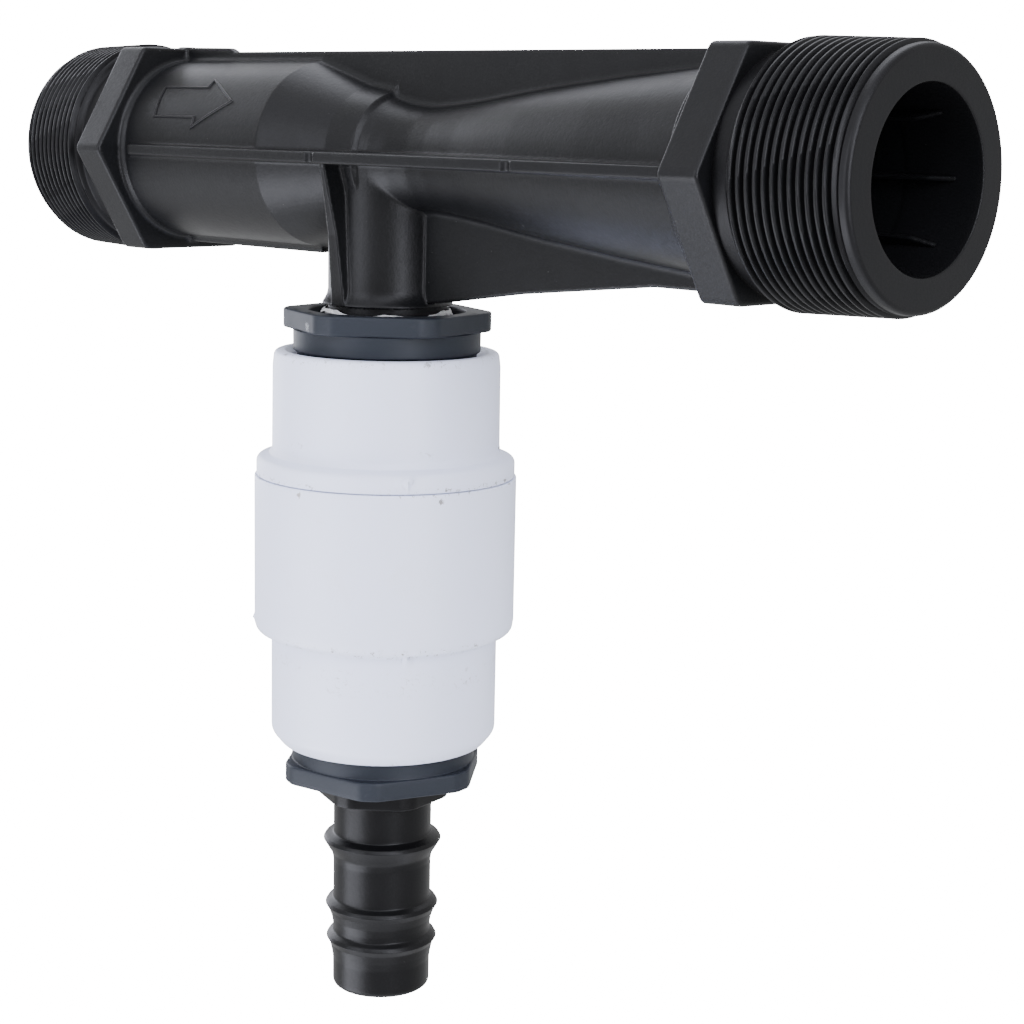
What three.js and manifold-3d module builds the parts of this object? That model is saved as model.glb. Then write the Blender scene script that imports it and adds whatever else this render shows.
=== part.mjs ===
// Venturi injector with male pipe ends, and a spring check valve, two reducer
// bushings and a hose barb hung on its suction port.
//
// Millimetres, +Z up. The row frame's origin is the centre of the inlet end,
// +X runs along the flow through the injector, and the suction stack hangs
// down (-Z). Inside this file the shapes are drawn about the point where the
// suction port's axis meets the flow axis; one group at the end moves them.

import * as THREE from 'three';
import { mergeVertices } from 'three/addons/utils/BufferGeometryUtils.js';
import Module from 'manifold-3d';

const wasm = await Module();
wasm.setup();

// ---------------------------------------------------------------- dimensions
const GAP = 0.3;                 // clearance between pieces that touch

// Injector, along X from the suction port's axis
const INLET_END = -129.2;
const OUTLET_END = 169.9;
const THREAD_PITCH = 2.209;      // 11.5 threads per inch
const THREAD_R_SMALL = 29.45;    // crest radius at the pipe end
const THREAD_R_LARGE = 30.2;     // crest radius near the hexagon
const THREAD_DEPTH = 1.7;
const OUT_CRESTS = 12;
const IN_CRESTS = 11;
const NOSE_R = 28.2;             // end face outer radius
const OUT_FIRST = 3.1;           // end face to first crest
const IN_FIRST = 2.2;
const HEX_APOTHEM = 28.65;
const HEX_CORNER_R = 32.7;
const IN_HEX = [-97.2, -86.05];
const OUT_HEX = [122.3, 133.6];
const BARREL_R = 24.8;
const CONE_START = -25.5;
const RING = [-4.5, 4.1];        // throat ring
const RING_R = [18.5, 17.05];
const WEB_T = 2.9;               // ribs and webs
const WEB_TOP = 27.6;
const PAD_TOP = 29.0;
const WEB_LOW_IN = -26.6;
const WEB_LOW_OUT = -27.5;
const WEB_LOW_PORT = -37.4;
const RIB_HALF = 28.0;           // horizontal rib, half width
const GUSSET_T = 3.2;
const BORE_R = 20.5;
const NOZZLE_R = 5.2;
const THROAT_R = 6.5;
const NOZZLE_X = -3.0;
const VANES = 8;

// Suction port and stack, along Z
const PORT_R = 16.0;
const PORT_END = -38.5;
const PORT_BORE_R = 9.0;
const SPIGOT_THREAD_R = 16.0;    // one inch male pipe thread, plain here
const PORT_THREAD_END = -57.5;
const TAPE = [16.3, 16.8];
const BUSH_THREAD_R = 17.1;
const BUSH_MOUTH_R = 21.0;
const BUSH_NECK_R = 15.0;
const BUSH_SPIGOT_R = 24.1;      // one and a half inch pipe size
const BUSH_SHOULDER_R = 25.2;
const FLANGE_APOTHEM = 25.4;
const FLANGE_CORNER_R = 27.9;
const UP_FLANGE = [-45.3, -40.1];
const UP_FLANGE_TURN = -49;      // degrees, direction of one flat
const UP_SPIGOT_END = -76.7;
const LOW_FLANGE = [-170.2, -165.0];
const LOW_FLANGE_TURN = -13;
const LOW_SPIGOT_END = -134.4;

// Check valve
const SOCKET_R = 24.4;
const UP_RIM = -51.0;
const UP_SOCKET_OUT = 30.6;
const UP_SOCKET_FLOOR = -77.0;
const SEAM = -84.5;
const BELT_R_UP = 34.9;
const BELT_R = 35.46;
const BELT_END = -126.5;
const LOW_SOCKET_OUT = 30.85;
const LOW_RIM = -160.5;
const LOW_SOCKET_FLOOR = -134.1;
const SEAT_Z = -126.0;
const SEAT_PORT_R = 17.0;
const CHAMBER_R = 30.5;
const SKIRT = [27.0, 30.2];
const SKIRT_END = -96.0;
const LIFT = 10;                 // poppet travel
const STEM_R = 3.2;
const HUB_BORE_R = 3.5;
const HUB_END = -90.0;
const SPRING_R = 7.7;            // to the wire's centre
const SPRING_WIRE_R = 0.6;
const SPRING_TURNS = 7;

// Hose barb
const BARB_TOP = -152.6;
const BARB_COLLAR = [-176.4, -170.6];
const BARB_COLLAR_R = 17.4;
const BARB_TUBE_R = 13.6;
const BARB_BORE_R = 10.2;
const BARB_END = -230.5;

// ------------------------------------------------------------------ helpers
const SEG = 28;

// A closed mesh becomes a solid: shared corners are merged, empty triangles
// go, and the faces are turned outwards.
function solid(geometry) {
  const g = geometry.index ? geometry.toNonIndexed() : geometry.clone();
  g.deleteAttribute('normal');
  g.deleteAttribute('uv');
  const m = mergeVertices(g, 1e-4);
  const p = m.attributes.position.array;
  const idx = m.index.array;
  const tri = [];
  let vol = 0;
  for (let i = 0; i < idx.length; i += 3) {
    const a = idx[i], b = idx[i + 1], c = idx[i + 2];
    if (a === b || b === c || a === c) continue;
    tri.push(a, b, c);
    vol += p[3 * a] * (p[3 * b + 1] * p[3 * c + 2] - p[3 * b + 2] * p[3 * c + 1])
         - p[3 * a + 1] * (p[3 * b] * p[3 * c + 2] - p[3 * b + 2] * p[3 * c])
         + p[3 * a + 2] * (p[3 * b] * p[3 * c + 1] - p[3 * b + 1] * p[3 * c]);
  }
  if (vol < 0) {
    for (let i = 0; i < tri.length; i += 3) {
      const t = tri[i + 1]; tri[i + 1] = tri[i + 2]; tri[i + 2] = t;
    }
  }
  return new wasm.Manifold(new wasm.Mesh({
    numProp: 3,
    vertProperties: new Float32Array(p),
    triVerts: new Uint32Array(tri),
  }));
}

const union = (...s) => s.reduce((a, b) => a.add(b));
const cut = (a, ...s) => s.reduce((x, y) => x.subtract(y), a);

// Profile points are [radius, height]; the profile closes on itself unless it
// starts and ends on the axis.
function lathe(points, seg = SEG) {
  const v = points.map(([r, h]) => new THREE.Vector2(r, h));
  const a = points[0], b = points[points.length - 1];
  if (!(a[0] === 0 && b[0] === 0)) v.push(v[0].clone());
  return new THREE.LatheGeometry(v, seg);
}
const latheZ = (points, seg) => solid(lathe(points, seg).rotateX(Math.PI / 2));
const latheX = (points, seg) => solid(lathe(points, seg).rotateZ(-Math.PI / 2));

// Solid rod between two heights, radii at each end
const rodZ = (z0, z1, r0, r1 = r0, seg = SEG) => latheZ([[0, z0], [r0, z0], [r1, z1], [0, z1]], seg);
const tubeZ = (z0, z1, ri, ro, seg = SEG) => latheZ([[ri, z0], [ro, z0], [ro, z1], [ri, z1]], seg);

function box(x0, x1, y0, y1, z0, z1) {
  const g = new THREE.BoxGeometry(x1 - x0, y1 - y0, z1 - z0);
  g.translate((x0 + x1) / 2, (y0 + y1) / 2, (z0 + z1) / 2);
  return solid(g);
}

// Plate cut from an outline of [u, v] points and centred on its own plane.
function outline(points) {
  const s = new THREE.Shape();
  points.forEach(([u, v], i) => (i ? s.lineTo(u, v) : s.moveTo(u, v)));
  s.closePath();
  return s;
}
function plateXZ(points, t) {           // u = X, v = Z, thickness along Y
  const g = new THREE.ExtrudeGeometry(outline(points), { depth: t, bevelEnabled: false });
  g.rotateX(Math.PI / 2);
  g.translate(0, t / 2, 0);
  return solid(g);
}
function plateXY(points, t) {           // u = X, v = Y, thickness along Z
  const g = new THREE.ExtrudeGeometry(outline(points), { depth: t, bevelEnabled: false });
  g.translate(0, 0, -t / 2);
  return solid(g);
}
function plateYZ(points, t) {           // u = Y, v = Z, thickness along X
  const g = new THREE.ExtrudeGeometry(outline(points), { depth: t, bevelEnabled: false });
  g.rotateX(Math.PI / 2);
  g.rotateZ(Math.PI / 2);
  g.translate(-t / 2, 0, 0);
  return solid(g);
}

// Hexagon with rounded corners, as [u, v] points. turn is the direction of
// one flat in degrees.
function hexagon(apothem, cornerR, turn, arc = 3) {
  const pts = [];
  const full = apothem / Math.cos(Math.PI / 6);
  const half = cornerR >= full ? 0 : Math.PI / 6 - Math.acos(apothem / cornerR);
  for (let k = 0; k < 6; k++) {
    const mid = THREE.MathUtils.degToRad(turn + 30 + 60 * k);
    if (half === 0) { pts.push([full * Math.cos(mid), full * Math.sin(mid)]); continue; }
    for (let i = 0; i <= arc; i++) {
      const a = mid - half + (2 * half * i) / arc;
      pts.push([cornerR * Math.cos(a), cornerR * Math.sin(a)]);
    }
  }
  return pts;
}
function hexPrismZ(z0, z1, apothem, cornerR, turn) {
  const g = new THREE.ExtrudeGeometry(outline(hexagon(apothem, cornerR, turn)), { depth: z1 - z0, bevelEnabled: false });
  g.translate(0, 0, z0);
  return solid(g);
}
function hexPrismX(x0, x1, apothem, cornerR) {  // flats at top and bottom
  const g = new THREE.ExtrudeGeometry(outline(hexagon(apothem, cornerR, 90)), { depth: x1 - x0, bevelEnabled: false });
  // outline (u, v) becomes (Y, Z)
  g.rotateX(Math.PI / 2);
  g.rotateZ(Math.PI / 2);
  g.translate(x0, 0, 0);
  return solid(g);
}

const group = new THREE.Group();
const stack = new THREE.Group();
stack.position.x = -INLET_END;
group.add(stack);

function node(name, manifold, color, roughness, metalness = 0) {
  const m = manifold.getMesh();
  const g = new THREE.BufferGeometry();
  const np = m.numProp;
  const src = m.vertProperties;
  const pos = new Float32Array((src.length / np) * 3);
  for (let i = 0; i < pos.length / 3; i++) {
    pos[3 * i] = src[np * i]; pos[3 * i + 1] = src[np * i + 1]; pos[3 * i + 2] = src[np * i + 2];
  }
  g.setAttribute('position', new THREE.BufferAttribute(pos, 3));
  g.setIndex(new THREE.BufferAttribute(new Uint32Array(m.triVerts), 1));
  g.computeVertexNormals();
  const mesh = new THREE.Mesh(g, new THREE.MeshStandardMaterial({ color, roughness, metalness }));
  mesh.name = name;
  stack.add(mesh);
  return mesh;
}

// ------------------------------------------------------------ injector body
// One moulding: two threaded ends with hexagons, barrel, cone, throat ring
// and diffuser, stiffened by a vertical web, a horizontal rib and gussets,
// with the suction port below the throat.

// Ridged profile of a tapered male thread as [radius, x], from the end face
// back to the neck. dir is +1 when the end face is at the larger x.
function threadProfile(end, dir, n, first) {
  const p = [];
  p.push([NOSE_R, end]);
  p.push([NOSE_R + 0.35, end - dir * 0.9]);
  for (let i = 0; i < n; i++) {
    const r = THREAD_R_SMALL + (THREAD_R_LARGE - THREAD_R_SMALL) * (i / (n - 1));
    const c = end - dir * (first + i * THREAD_PITCH);
    p.push([r, c]);
    p.push([r - THREAD_DEPTH, c - dir * THREAD_PITCH / 2]);
  }
  return p;
}
const outThread = threadProfile(OUTLET_END, 1, OUT_CRESTS, OUT_FIRST);
const inThread = threadProfile(INLET_END, -1, IN_CRESTS, IN_FIRST);
const outSolid = latheX([[0, OUTLET_END], ...outThread, [28.3, OUT_HEX[1] - 2], [0, OUT_HEX[1] - 2]]);
const inSolid = latheX([[0, INLET_END], ...inThread, [27.4, IN_HEX[0] - 0.01], [27.4, IN_HEX[0] + 2], [0, IN_HEX[0] + 2]]);

const shell = latheX([
  [0, IN_HEX[1] - 1], [26.4, IN_HEX[1] - 1], [26.4, IN_HEX[1]], [25.3, IN_HEX[1] + 0.6], [BARREL_R, IN_HEX[1] + 1.8],
  [BARREL_R, CONE_START],
  [RING_R[0], RING[0]], [RING_R[1], RING[1]], [15.9, 5.4], [15.0, 7.2], [13.9, 10.5], [13.2, 15], [13.1, 20],
  [13.9, 27], [16.9, 48], [18.2, 61], [21.0, 86], [22.9, 106], [24.7, OUT_HEX[0]], [24.7, OUT_HEX[0] + 1], [0, OUT_HEX[0] + 1],
]);

// Vertical web, above and below
const webTop = plateXZ([
  [IN_HEX[1] - 1, 0], [IN_HEX[1] - 1, PAD_TOP], [-66.9, PAD_TOP - 0.3], [-64.6, WEB_TOP],
  [OUT_HEX[0] + 1, WEB_TOP], [OUT_HEX[0] + 1, 0],
], WEB_T);
const webLowIn = plateXZ([
  [IN_HEX[1] - 1, 0], [IN_HEX[1] - 1, WEB_LOW_IN], [-26.6, WEB_LOW_IN], [-25.4, WEB_LOW_IN + 1.2], [-25.4, 0],
], WEB_T);
const webLowOut = plateXZ([
  [0, 0], [0, WEB_LOW_PORT], [18.6, WEB_LOW_PORT], [95, WEB_LOW_OUT], [OUT_HEX[0] + 1, WEB_LOW_OUT], [OUT_HEX[0] + 1, 0],
], WEB_T);
// Gussets on the port: a cross plate and one towards the inlet
const gusset = plateYZ([
  [-23.5, 0], [-23.5, -2], [-18.9, -24], [-18.9, WEB_LOW_PORT - 0.6],
  [18.9, WEB_LOW_PORT - 0.6], [18.9, -24], [23.5, -2], [23.5, 0],
], GUSSET_T);
const gussetIn = plateXZ([[-21.5, 0], [-21.5, -14], [-18.9, -26], [-18.9, WEB_LOW_PORT], [0, WEB_LOW_PORT], [0, 0]], WEB_T);
// Horizontal rib with two shallow marks on each edge
let rib = plateXY([
  [-84.2, -24.4], [-79, -RIB_HALF], [OUT_HEX[0] + 1, -RIB_HALF],
  [OUT_HEX[0] + 1, RIB_HALF], [-79, RIB_HALF], [-84.2, 24.4],
], WEB_T);
for (const x of [0.4, 71.5]) {
  for (const s of [-1, 1]) {
    rib = rib.subtract(rodZ(-3, 3, 1.5, 1.5, 12).translate([x, s * (RIB_HALF + 0.75), 0]));
  }
}

const port = latheZ([
  [0, -2], [PORT_R, -2], [PORT_R, PORT_END + 4], [PORT_R + 0.5, PORT_END + 1.6], [PORT_R + 1.6, PORT_END],
  [SPIGOT_THREAD_R, PORT_END], [SPIGOT_THREAD_R, PORT_THREAD_END + 1.5], [SPIGOT_THREAD_R - 1.2, PORT_THREAD_END], [0, PORT_THREAD_END],
], 28);

// Flow arrow: a raised outline on the barrel, towards the outlet
function arrowBand() {
  const a0 = 33.3;
  const pts = [[-73.4, 11], [-54.6, 11], [-54.5, 17.9], [-40.7, 0.3], [-54.4, -17.9], [-54.4, -11], [-73.4, -11]];
  // [x, degrees from the arrow's centre line], wound as a loop
  const R0 = BARREL_R - 0.4, R1 = BARREL_R + 0.35, W = 0.55;
  const bars = [];
  for (let i = 0; i < pts.length; i++) {
    const p = pts[i], q = pts[(i + 1) % pts.length];
    const steps = Math.max(1, Math.ceil(Math.abs(p[1] - q[1]) / 11));
    for (let k = 0; k < steps; k++) {
      const e = [0, 1].map((j) => {
        const t = (k + j) / steps;
        return [p[0] + (q[0] - p[0]) * t, p[1] + (q[1] - p[1]) * t];
      });
      const at = (x, deg, r) => {
        const a = THREE.MathUtils.degToRad(a0 + deg);
        return new THREE.Vector3(x, -r * Math.cos(a), r * Math.sin(a));
      };
      const A = at(e[0][0], e[0][1], R1), B = at(e[1][0], e[1][1], R1);
      const dir = B.clone().sub(A).normalize();
      const mid = A.clone().add(B).multiplyScalar(0.5);
      const out = new THREE.Vector3(0, mid.y, mid.z).normalize();
      const side = new THREE.Vector3().crossVectors(dir, out).normalize();
      const len = A.distanceTo(B) + W;
      const g = new THREE.BoxGeometry(len, W, R1 - R0 + 0.2);
      const m = new THREE.Matrix4().makeBasis(dir, side, out.clone().sub(dir.clone().multiplyScalar(out.dot(dir))).normalize());
      const c = mid.clone().sub(out.clone().multiplyScalar((R1 - R0) / 2));
      m.setPosition(c);
      g.applyMatrix4(m);
      bars.push(solid(g));
    }
  }
  return union(...bars);
}

// The water path: inlet bore, nozzle, suction slot, throat and diffuser
const path = latheX([
  [0, INLET_END - 1], [BORE_R, INLET_END - 1], [BORE_R, -62], [12.6, -24], [NOZZLE_R, NOZZLE_X - 3], [NOZZLE_R, NOZZLE_X],
  [13.2, NOZZLE_X - 1.2], [13.2, NOZZLE_X + 2.2],
  [THROAT_R, NOZZLE_X + 4.0], [THROAT_R, 9],
  [12.0, 52], [18.9, 118], [BORE_R - 0.5, 140], [BORE_R, OUTLET_END + 1], [0, OUTLET_END + 1],
]);
const suction = union(
  rodZ(PORT_THREAD_END - 1, -19, PORT_BORE_R, PORT_BORE_R, 24),
  rodZ(-19.5, -11.5, 2.4, 2.4, 16).translate([NOZZLE_X + 0.5, 0, 0]),
  rodZ(-19.5, -15.5, 6.5, 4.0, 20),
);

let body = union(outSolid, inSolid, hexPrismX(IN_HEX[0], IN_HEX[1], HEX_APOTHEM, HEX_CORNER_R),
  hexPrismX(OUT_HEX[0], OUT_HEX[1], HEX_APOTHEM, HEX_CORNER_R), shell, webTop, webLowIn, webLowOut, gusset, gussetIn, rib, port, arrowBand());
body = cut(body, path, suction);

// Straightening vanes inside the outlet end
for (let k = 0; k < VANES; k++) {
  const fin = plateXZ([[114, 15.9], [114, 19.6], [163.5, 21.2], [163.5, 20.2], [157, 17.9]], 1.1);
  body = body.add(fin.rotate([45 * k, 0, 0]));
}
node('injector_body', body, 0x1b1b1d, 0.55);

// ----------------------------------------------------------------- bushings
const tapeUp = latheZ([
  [TAPE[0], PORT_THREAD_END + 2.5], [TAPE[1], PORT_THREAD_END + 2.5], [TAPE[1], -43.2], [BUSH_MOUTH_R - 0.7, -43.2],
  [BUSH_MOUTH_R - 0.7, -42.5], [TAPE[1] + 0.8, -41.2], [TAPE[0], -41.2],
], 28);
node('upper_thread_tape', tapeUp, 0xe9e9e6, 0.6);

const bushUp = cut(
  union(
    hexPrismZ(UP_FLANGE[0], UP_FLANGE[1], FLANGE_APOTHEM, FLANGE_CORNER_R, UP_FLANGE_TURN),
    rodZ(-51.6, UP_FLANGE[0] + 0.5, BUSH_SHOULDER_R),
    latheZ([[0, -46], [BUSH_SPIGOT_R, -46], [BUSH_SPIGOT_R, UP_SPIGOT_END + 1.2], [BUSH_SPIGOT_R - 1, UP_SPIGOT_END], [0, UP_SPIGOT_END]]),
  ),
  latheZ([
    [0, UP_FLANGE[1] + 1], [BUSH_MOUTH_R, UP_FLANGE[1] + 1], [BUSH_MOUTH_R, -43.5], [BUSH_THREAD_R, -43.5],
    [BUSH_THREAD_R, -60], [BUSH_NECK_R, -62], [BUSH_NECK_R, UP_SPIGOT_END - 1], [0, UP_SPIGOT_END - 1],
  ], 28),
);
node('upper_bushing', bushUp, 0x3a424c, 0.5);

// -------------------------------------------------------------- check valve
const upperValve = latheZ([
  // inside, from the rim down
  [27.0, UP_RIM], [25.6, UP_RIM - 1.0], [BUSH_SHOULDER_R + GAP, UP_RIM - 1.6], [SOCKET_R, -53], [SOCKET_R, UP_SOCKET_FLOOR], [20.0, UP_SOCKET_FLOOR],
  [20.0, -81.0], [SKIRT[0], -81.0], [SKIRT[0], SKIRT_END], [SKIRT[1], SKIRT_END], [SKIRT[1], SEAM],
  // outside, back up to the rim
  [BELT_R_UP, SEAM], [BELT_R_UP, -81.3], [34.2, -79.8], [32.9, -79.0], [31.4, -78.2], [UP_SOCKET_OUT + 0.1, -76.2],
  [UP_SOCKET_OUT, -56], [30.3, -53.4], [29.3, -51.6], [28.3, UP_RIM],
], SEG);
node('valve_body_upper', upperValve, 0xdfe1ea, 0.4);

const lowerValve = latheZ([
  [BELT_R - 0.5, SEAM - GAP], [CHAMBER_R, SEAM - GAP], [CHAMBER_R, SEAT_Z - 1.4], [19.8, SEAT_Z - 1.8], [18.8, SEAT_Z], [SEAT_PORT_R, SEAT_Z],
  [SEAT_PORT_R, LOW_SOCKET_FLOOR], [SOCKET_R, LOW_SOCKET_FLOOR], [SOCKET_R, -158.4], [BUSH_SHOULDER_R + GAP, -159.4], [26.6, LOW_RIM],
  [27.3, LOW_RIM], [28.9, -159.6], [30.2, -157.6], [LOW_SOCKET_OUT, -154.6],
  [LOW_SOCKET_OUT, -132.2], [31.5, -130.7], [33.6, -130.0], [34.9, -128.9], [BELT_R, BELT_END], [BELT_R, SEAM - GAP - 0.5],
], SEG);
node('valve_body_lower', lowerValve, 0xe0e2eb, 0.4);

// Guide spider under the upper body's shoulder: ring, three arms and hub
let spider = union(
  tubeZ(-84.3, -81.3, 23.4, 26.7),
  rodZ(HUB_END, -81.3, 5.2, 5.2, 20),
);
for (let k = 0; k < 3; k++) {
  spider = spider.add(box(0, 24.5, -1.4, 1.4, -84.3, -81.3).rotate([0, 0, 90 + 120 * k]));
}
spider = spider.subtract(rodZ(HUB_END - 1, -80, HUB_BORE_R, HUB_BORE_R, 20));
node('guide_spider', spider, 0xd8dae2, 0.45);

// Poppet: disc with a stem that slides in the hub, and a shoulder as its stop
const SEAL_TOP = -122.8;
const poppet = cut(
  latheZ([
    [0, SEAL_TOP + GAP], [21.6, SEAL_TOP + GAP], [21.6, -119.6], [20.4, -118.5], [10.4, -118.5], [10.1, -117.2], [9.0, -117.2], [8.8, -118.5], [5.9, -118.5], [5.2, -117.8],
    [5.2, HUB_END - LIFT - GAP], [STEM_R, HUB_END - LIFT - GAP], [STEM_R, -80.6], [2.4, -79.6], [0, -79.6],
  ], 28),
  rodZ(SEAL_TOP - 1, -113.5, 1.9, 1.9, 12),
);
node('poppet', poppet, 0xd6d8df, 0.45);
node('poppet_seal', tubeZ(SEAT_Z + GAP, SEAL_TOP, 1.9, 20.9, 28), 0x1f1f20, 0.8);
node('seal_retainer', latheZ([[1.9, SEAT_Z - 2.0], [11.6, SEAT_Z - 2.0], [13.2, SEAT_Z - 1.0], [13.2, SEAT_Z], [1.9, SEAT_Z]], 24), 0xd6d8df, 0.45);
const screw = cut(
  latheZ([[0, -113.9], [1.6, -113.9], [1.6, SEAT_Z - 2.3], [4.0, SEAT_Z - 2.3], [4.0, SEAT_Z - 3.8], [3.1, SEAT_Z - 4.7], [0, SEAT_Z - 4.7]], 16),
  box(-5, 5, -0.45, 0.45, SEAT_Z - 6, SEAT_Z - 3.6),
);
node('retainer_screw', screw, 0x9b9da0, 0.35, 1);

// Return spring, a helix from the poppet's disc to the spider's arms
class Helix extends THREE.Curve {
  getPoint(t, target = new THREE.Vector3()) {
    const z0 = -118.5 + GAP + SPRING_WIRE_R, z1 = -84.3 - GAP - SPRING_WIRE_R;
    const rise = THREE.MathUtils.clamp((t - 0.08) / 0.84, 0, 1);
    const lead = 2 * SPRING_WIRE_R + 0.25;
    const z = t < 0.08 ? z0 + lead * (t / 0.08) * 0.5 : t > 0.92 ? z1 - lead * ((1 - t) / 0.08) * 0.5
      : z0 + lead / 2 + (z1 - z0 - lead) * rise;
    const a = 2 * Math.PI * SPRING_TURNS * t;
    return target.set(SPRING_R * Math.cos(a), SPRING_R * Math.sin(a), z);
  }
}
const wire = new THREE.Shape();
for (let i = 0; i < 6; i++) {
  const a = (i / 6) * 2 * Math.PI;
  const [u, v] = [SPRING_WIRE_R * Math.cos(a), SPRING_WIRE_R * Math.sin(a)];
  if (i) wire.lineTo(u, v); else wire.moveTo(u, v);
}
wire.closePath();
node('return_spring', solid(new THREE.ExtrudeGeometry(wire, { steps: SPRING_TURNS * 10, bevelEnabled: false, extrudePath: new Helix() })), 0xb9bbbd, 0.3, 1);

// ------------------------------------------------------- lower end and barb
const bushLow = cut(
  union(
    hexPrismZ(LOW_FLANGE[0], LOW_FLANGE[1], FLANGE_APOTHEM, FLANGE_CORNER_R, LOW_FLANGE_TURN),
    rodZ(LOW_FLANGE[1] - 0.5, -159.9, BUSH_SHOULDER_R),
    latheZ([[0, -165], [BUSH_SPIGOT_R, -165], [BUSH_SPIGOT_R, LOW_SPIGOT_END - 1.2], [BUSH_SPIGOT_R - 1, LOW_SPIGOT_END], [0, LOW_SPIGOT_END]]),
  ),
  latheZ([
    [0, LOW_FLANGE[0] - 1], [BUSH_THREAD_R + 0.6, LOW_FLANGE[0] - 1], [BUSH_THREAD_R, LOW_FLANGE[0] + 0.6],
    [BUSH_THREAD_R, -151], [BUSH_NECK_R, -149], [BUSH_NECK_R, LOW_SPIGOT_END + 1], [0, LOW_SPIGOT_END + 1],
  ], 28),
);
node('lower_bushing', bushLow, 0x3a424c, 0.5);
node('lower_thread_tape', tubeZ(-169.6, BARB_TOP - 1.8, TAPE[0], TAPE[1], 24), 0xe9e9e6, 0.6);

// Three ridges: a flat shelf above each tip, a hollow slope below it
const RIDGES = [[-187.5, 16.4], [-206.4, 15.7], [-216.2, 15.4]];
const barbOut = [[0, BARB_TOP], [SPIGOT_THREAD_R - 1.2, BARB_TOP], [SPIGOT_THREAD_R, BARB_TOP - 1.5], [SPIGOT_THREAD_R, BARB_COLLAR[1] + 1.2], [15.0, BARB_COLLAR[1] - 1]];
barbOut.push([15.0, BARB_COLLAR[0] + 1], [BARB_TUBE_R, BARB_COLLAR[0] - 0.6]);
for (const [z, r] of RIDGES) {
  barbOut.push([BARB_TUBE_R, z + 2.0], [r - 0.3, z + 0.4], [r, z - 0.3], [r - 1.2, z - 2.2], [BARB_TUBE_R, z - 6.4]);
}
barbOut.push([BARB_TUBE_R - 0.1, BARB_END + 1.6], [BARB_TUBE_R - 1.1, BARB_END], [0, BARB_END]);
const barb = cut(
  union(latheZ(barbOut, 24), hexPrismZ(BARB_COLLAR[0], BARB_COLLAR[1], 15.9, BARB_COLLAR_R, 10)),
  rodZ(BARB_END - 1, BARB_TOP + 1, BARB_BORE_R, BARB_BORE_R, 20),
);
node('hose_barb', barb, 0x232325, 0.45);

export default group;
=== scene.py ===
import bpy
import math
import numpy as np
from concurrent.futures import ThreadPoolExecutor
from mathutils import Matrix, Vector


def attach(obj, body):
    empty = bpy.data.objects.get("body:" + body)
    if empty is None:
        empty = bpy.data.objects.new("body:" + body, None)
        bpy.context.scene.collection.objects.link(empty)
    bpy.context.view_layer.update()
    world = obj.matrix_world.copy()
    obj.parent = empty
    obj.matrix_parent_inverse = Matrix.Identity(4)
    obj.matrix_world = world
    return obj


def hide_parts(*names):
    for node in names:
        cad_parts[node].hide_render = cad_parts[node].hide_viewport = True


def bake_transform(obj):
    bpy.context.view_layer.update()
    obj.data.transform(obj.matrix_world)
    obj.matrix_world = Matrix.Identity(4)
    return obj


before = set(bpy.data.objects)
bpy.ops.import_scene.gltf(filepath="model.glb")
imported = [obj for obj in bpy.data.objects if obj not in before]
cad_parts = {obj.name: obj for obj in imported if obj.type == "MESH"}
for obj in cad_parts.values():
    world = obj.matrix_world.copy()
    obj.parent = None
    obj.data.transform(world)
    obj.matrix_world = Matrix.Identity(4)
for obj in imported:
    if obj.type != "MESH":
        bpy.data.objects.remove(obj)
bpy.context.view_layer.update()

ROOT, MOVING = "injector_assembly", "poppet_unit"
OX = 129.2            # local millimetres are measured from the suction port's axis
MM = 0.001


def to_row(v):
    """Local millimetres, about the suction port's axis, to the row frame in metres."""
    v = np.asarray(v, dtype=np.float64) * MM
    v = v.copy()
    v[:, 0] += OX * MM
    return v


# --------------------------------------------------------------- mesh making
def new_mesh(name, verts, faces, mat, body, replaces=(), normals=None, smooth=True):
    """A shown piece from local millimetre points. faces is an (n, 4) or (n, 3) array, or a list of both."""
    me = bpy.data.meshes.new(name)
    v = to_row(verts)
    if isinstance(faces, np.ndarray):
        k = faces.shape[1]
        loops = faces.astype(np.int32).ravel()
        starts = np.arange(0, len(loops), k, dtype=np.int32)
        totals = np.full(len(faces), k, dtype=np.int32)
    else:
        sizes = [f.shape[1] for f in faces]
        loops = np.concatenate([f.astype(np.int32).ravel() for f in faces])
        totals = np.concatenate([np.full(len(f), s, dtype=np.int32) for f, s in zip(faces, sizes)])
        starts = np.concatenate([[0], np.cumsum(totals)[:-1]]).astype(np.int32)
    me.vertices.add(len(v))
    me.vertices.foreach_set("co", v.astype(np.float32).ravel())
    me.loops.add(len(loops))
    me.loops.foreach_set("vertex_index", loops)
    me.polygons.add(len(totals))
    me.polygons.foreach_set("loop_start", starts)
    me.polygons.foreach_set("loop_total", totals)
    me.update(calc_edges=True)
    me.validate()
    me.polygons.foreach_set("use_smooth", np.full(len(me.polygons), bool(smooth)))
    if normals is not None:
        me.normals_split_custom_set_from_vertices([tuple(n) for n in normals])
    me.materials.append(mat)
    o = bpy.data.objects.new(name, me)
    bpy.context.scene.collection.objects.link(o)
    if body:
        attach(o, body)
    if replaces:
        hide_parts(*replaces)
    return o


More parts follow.
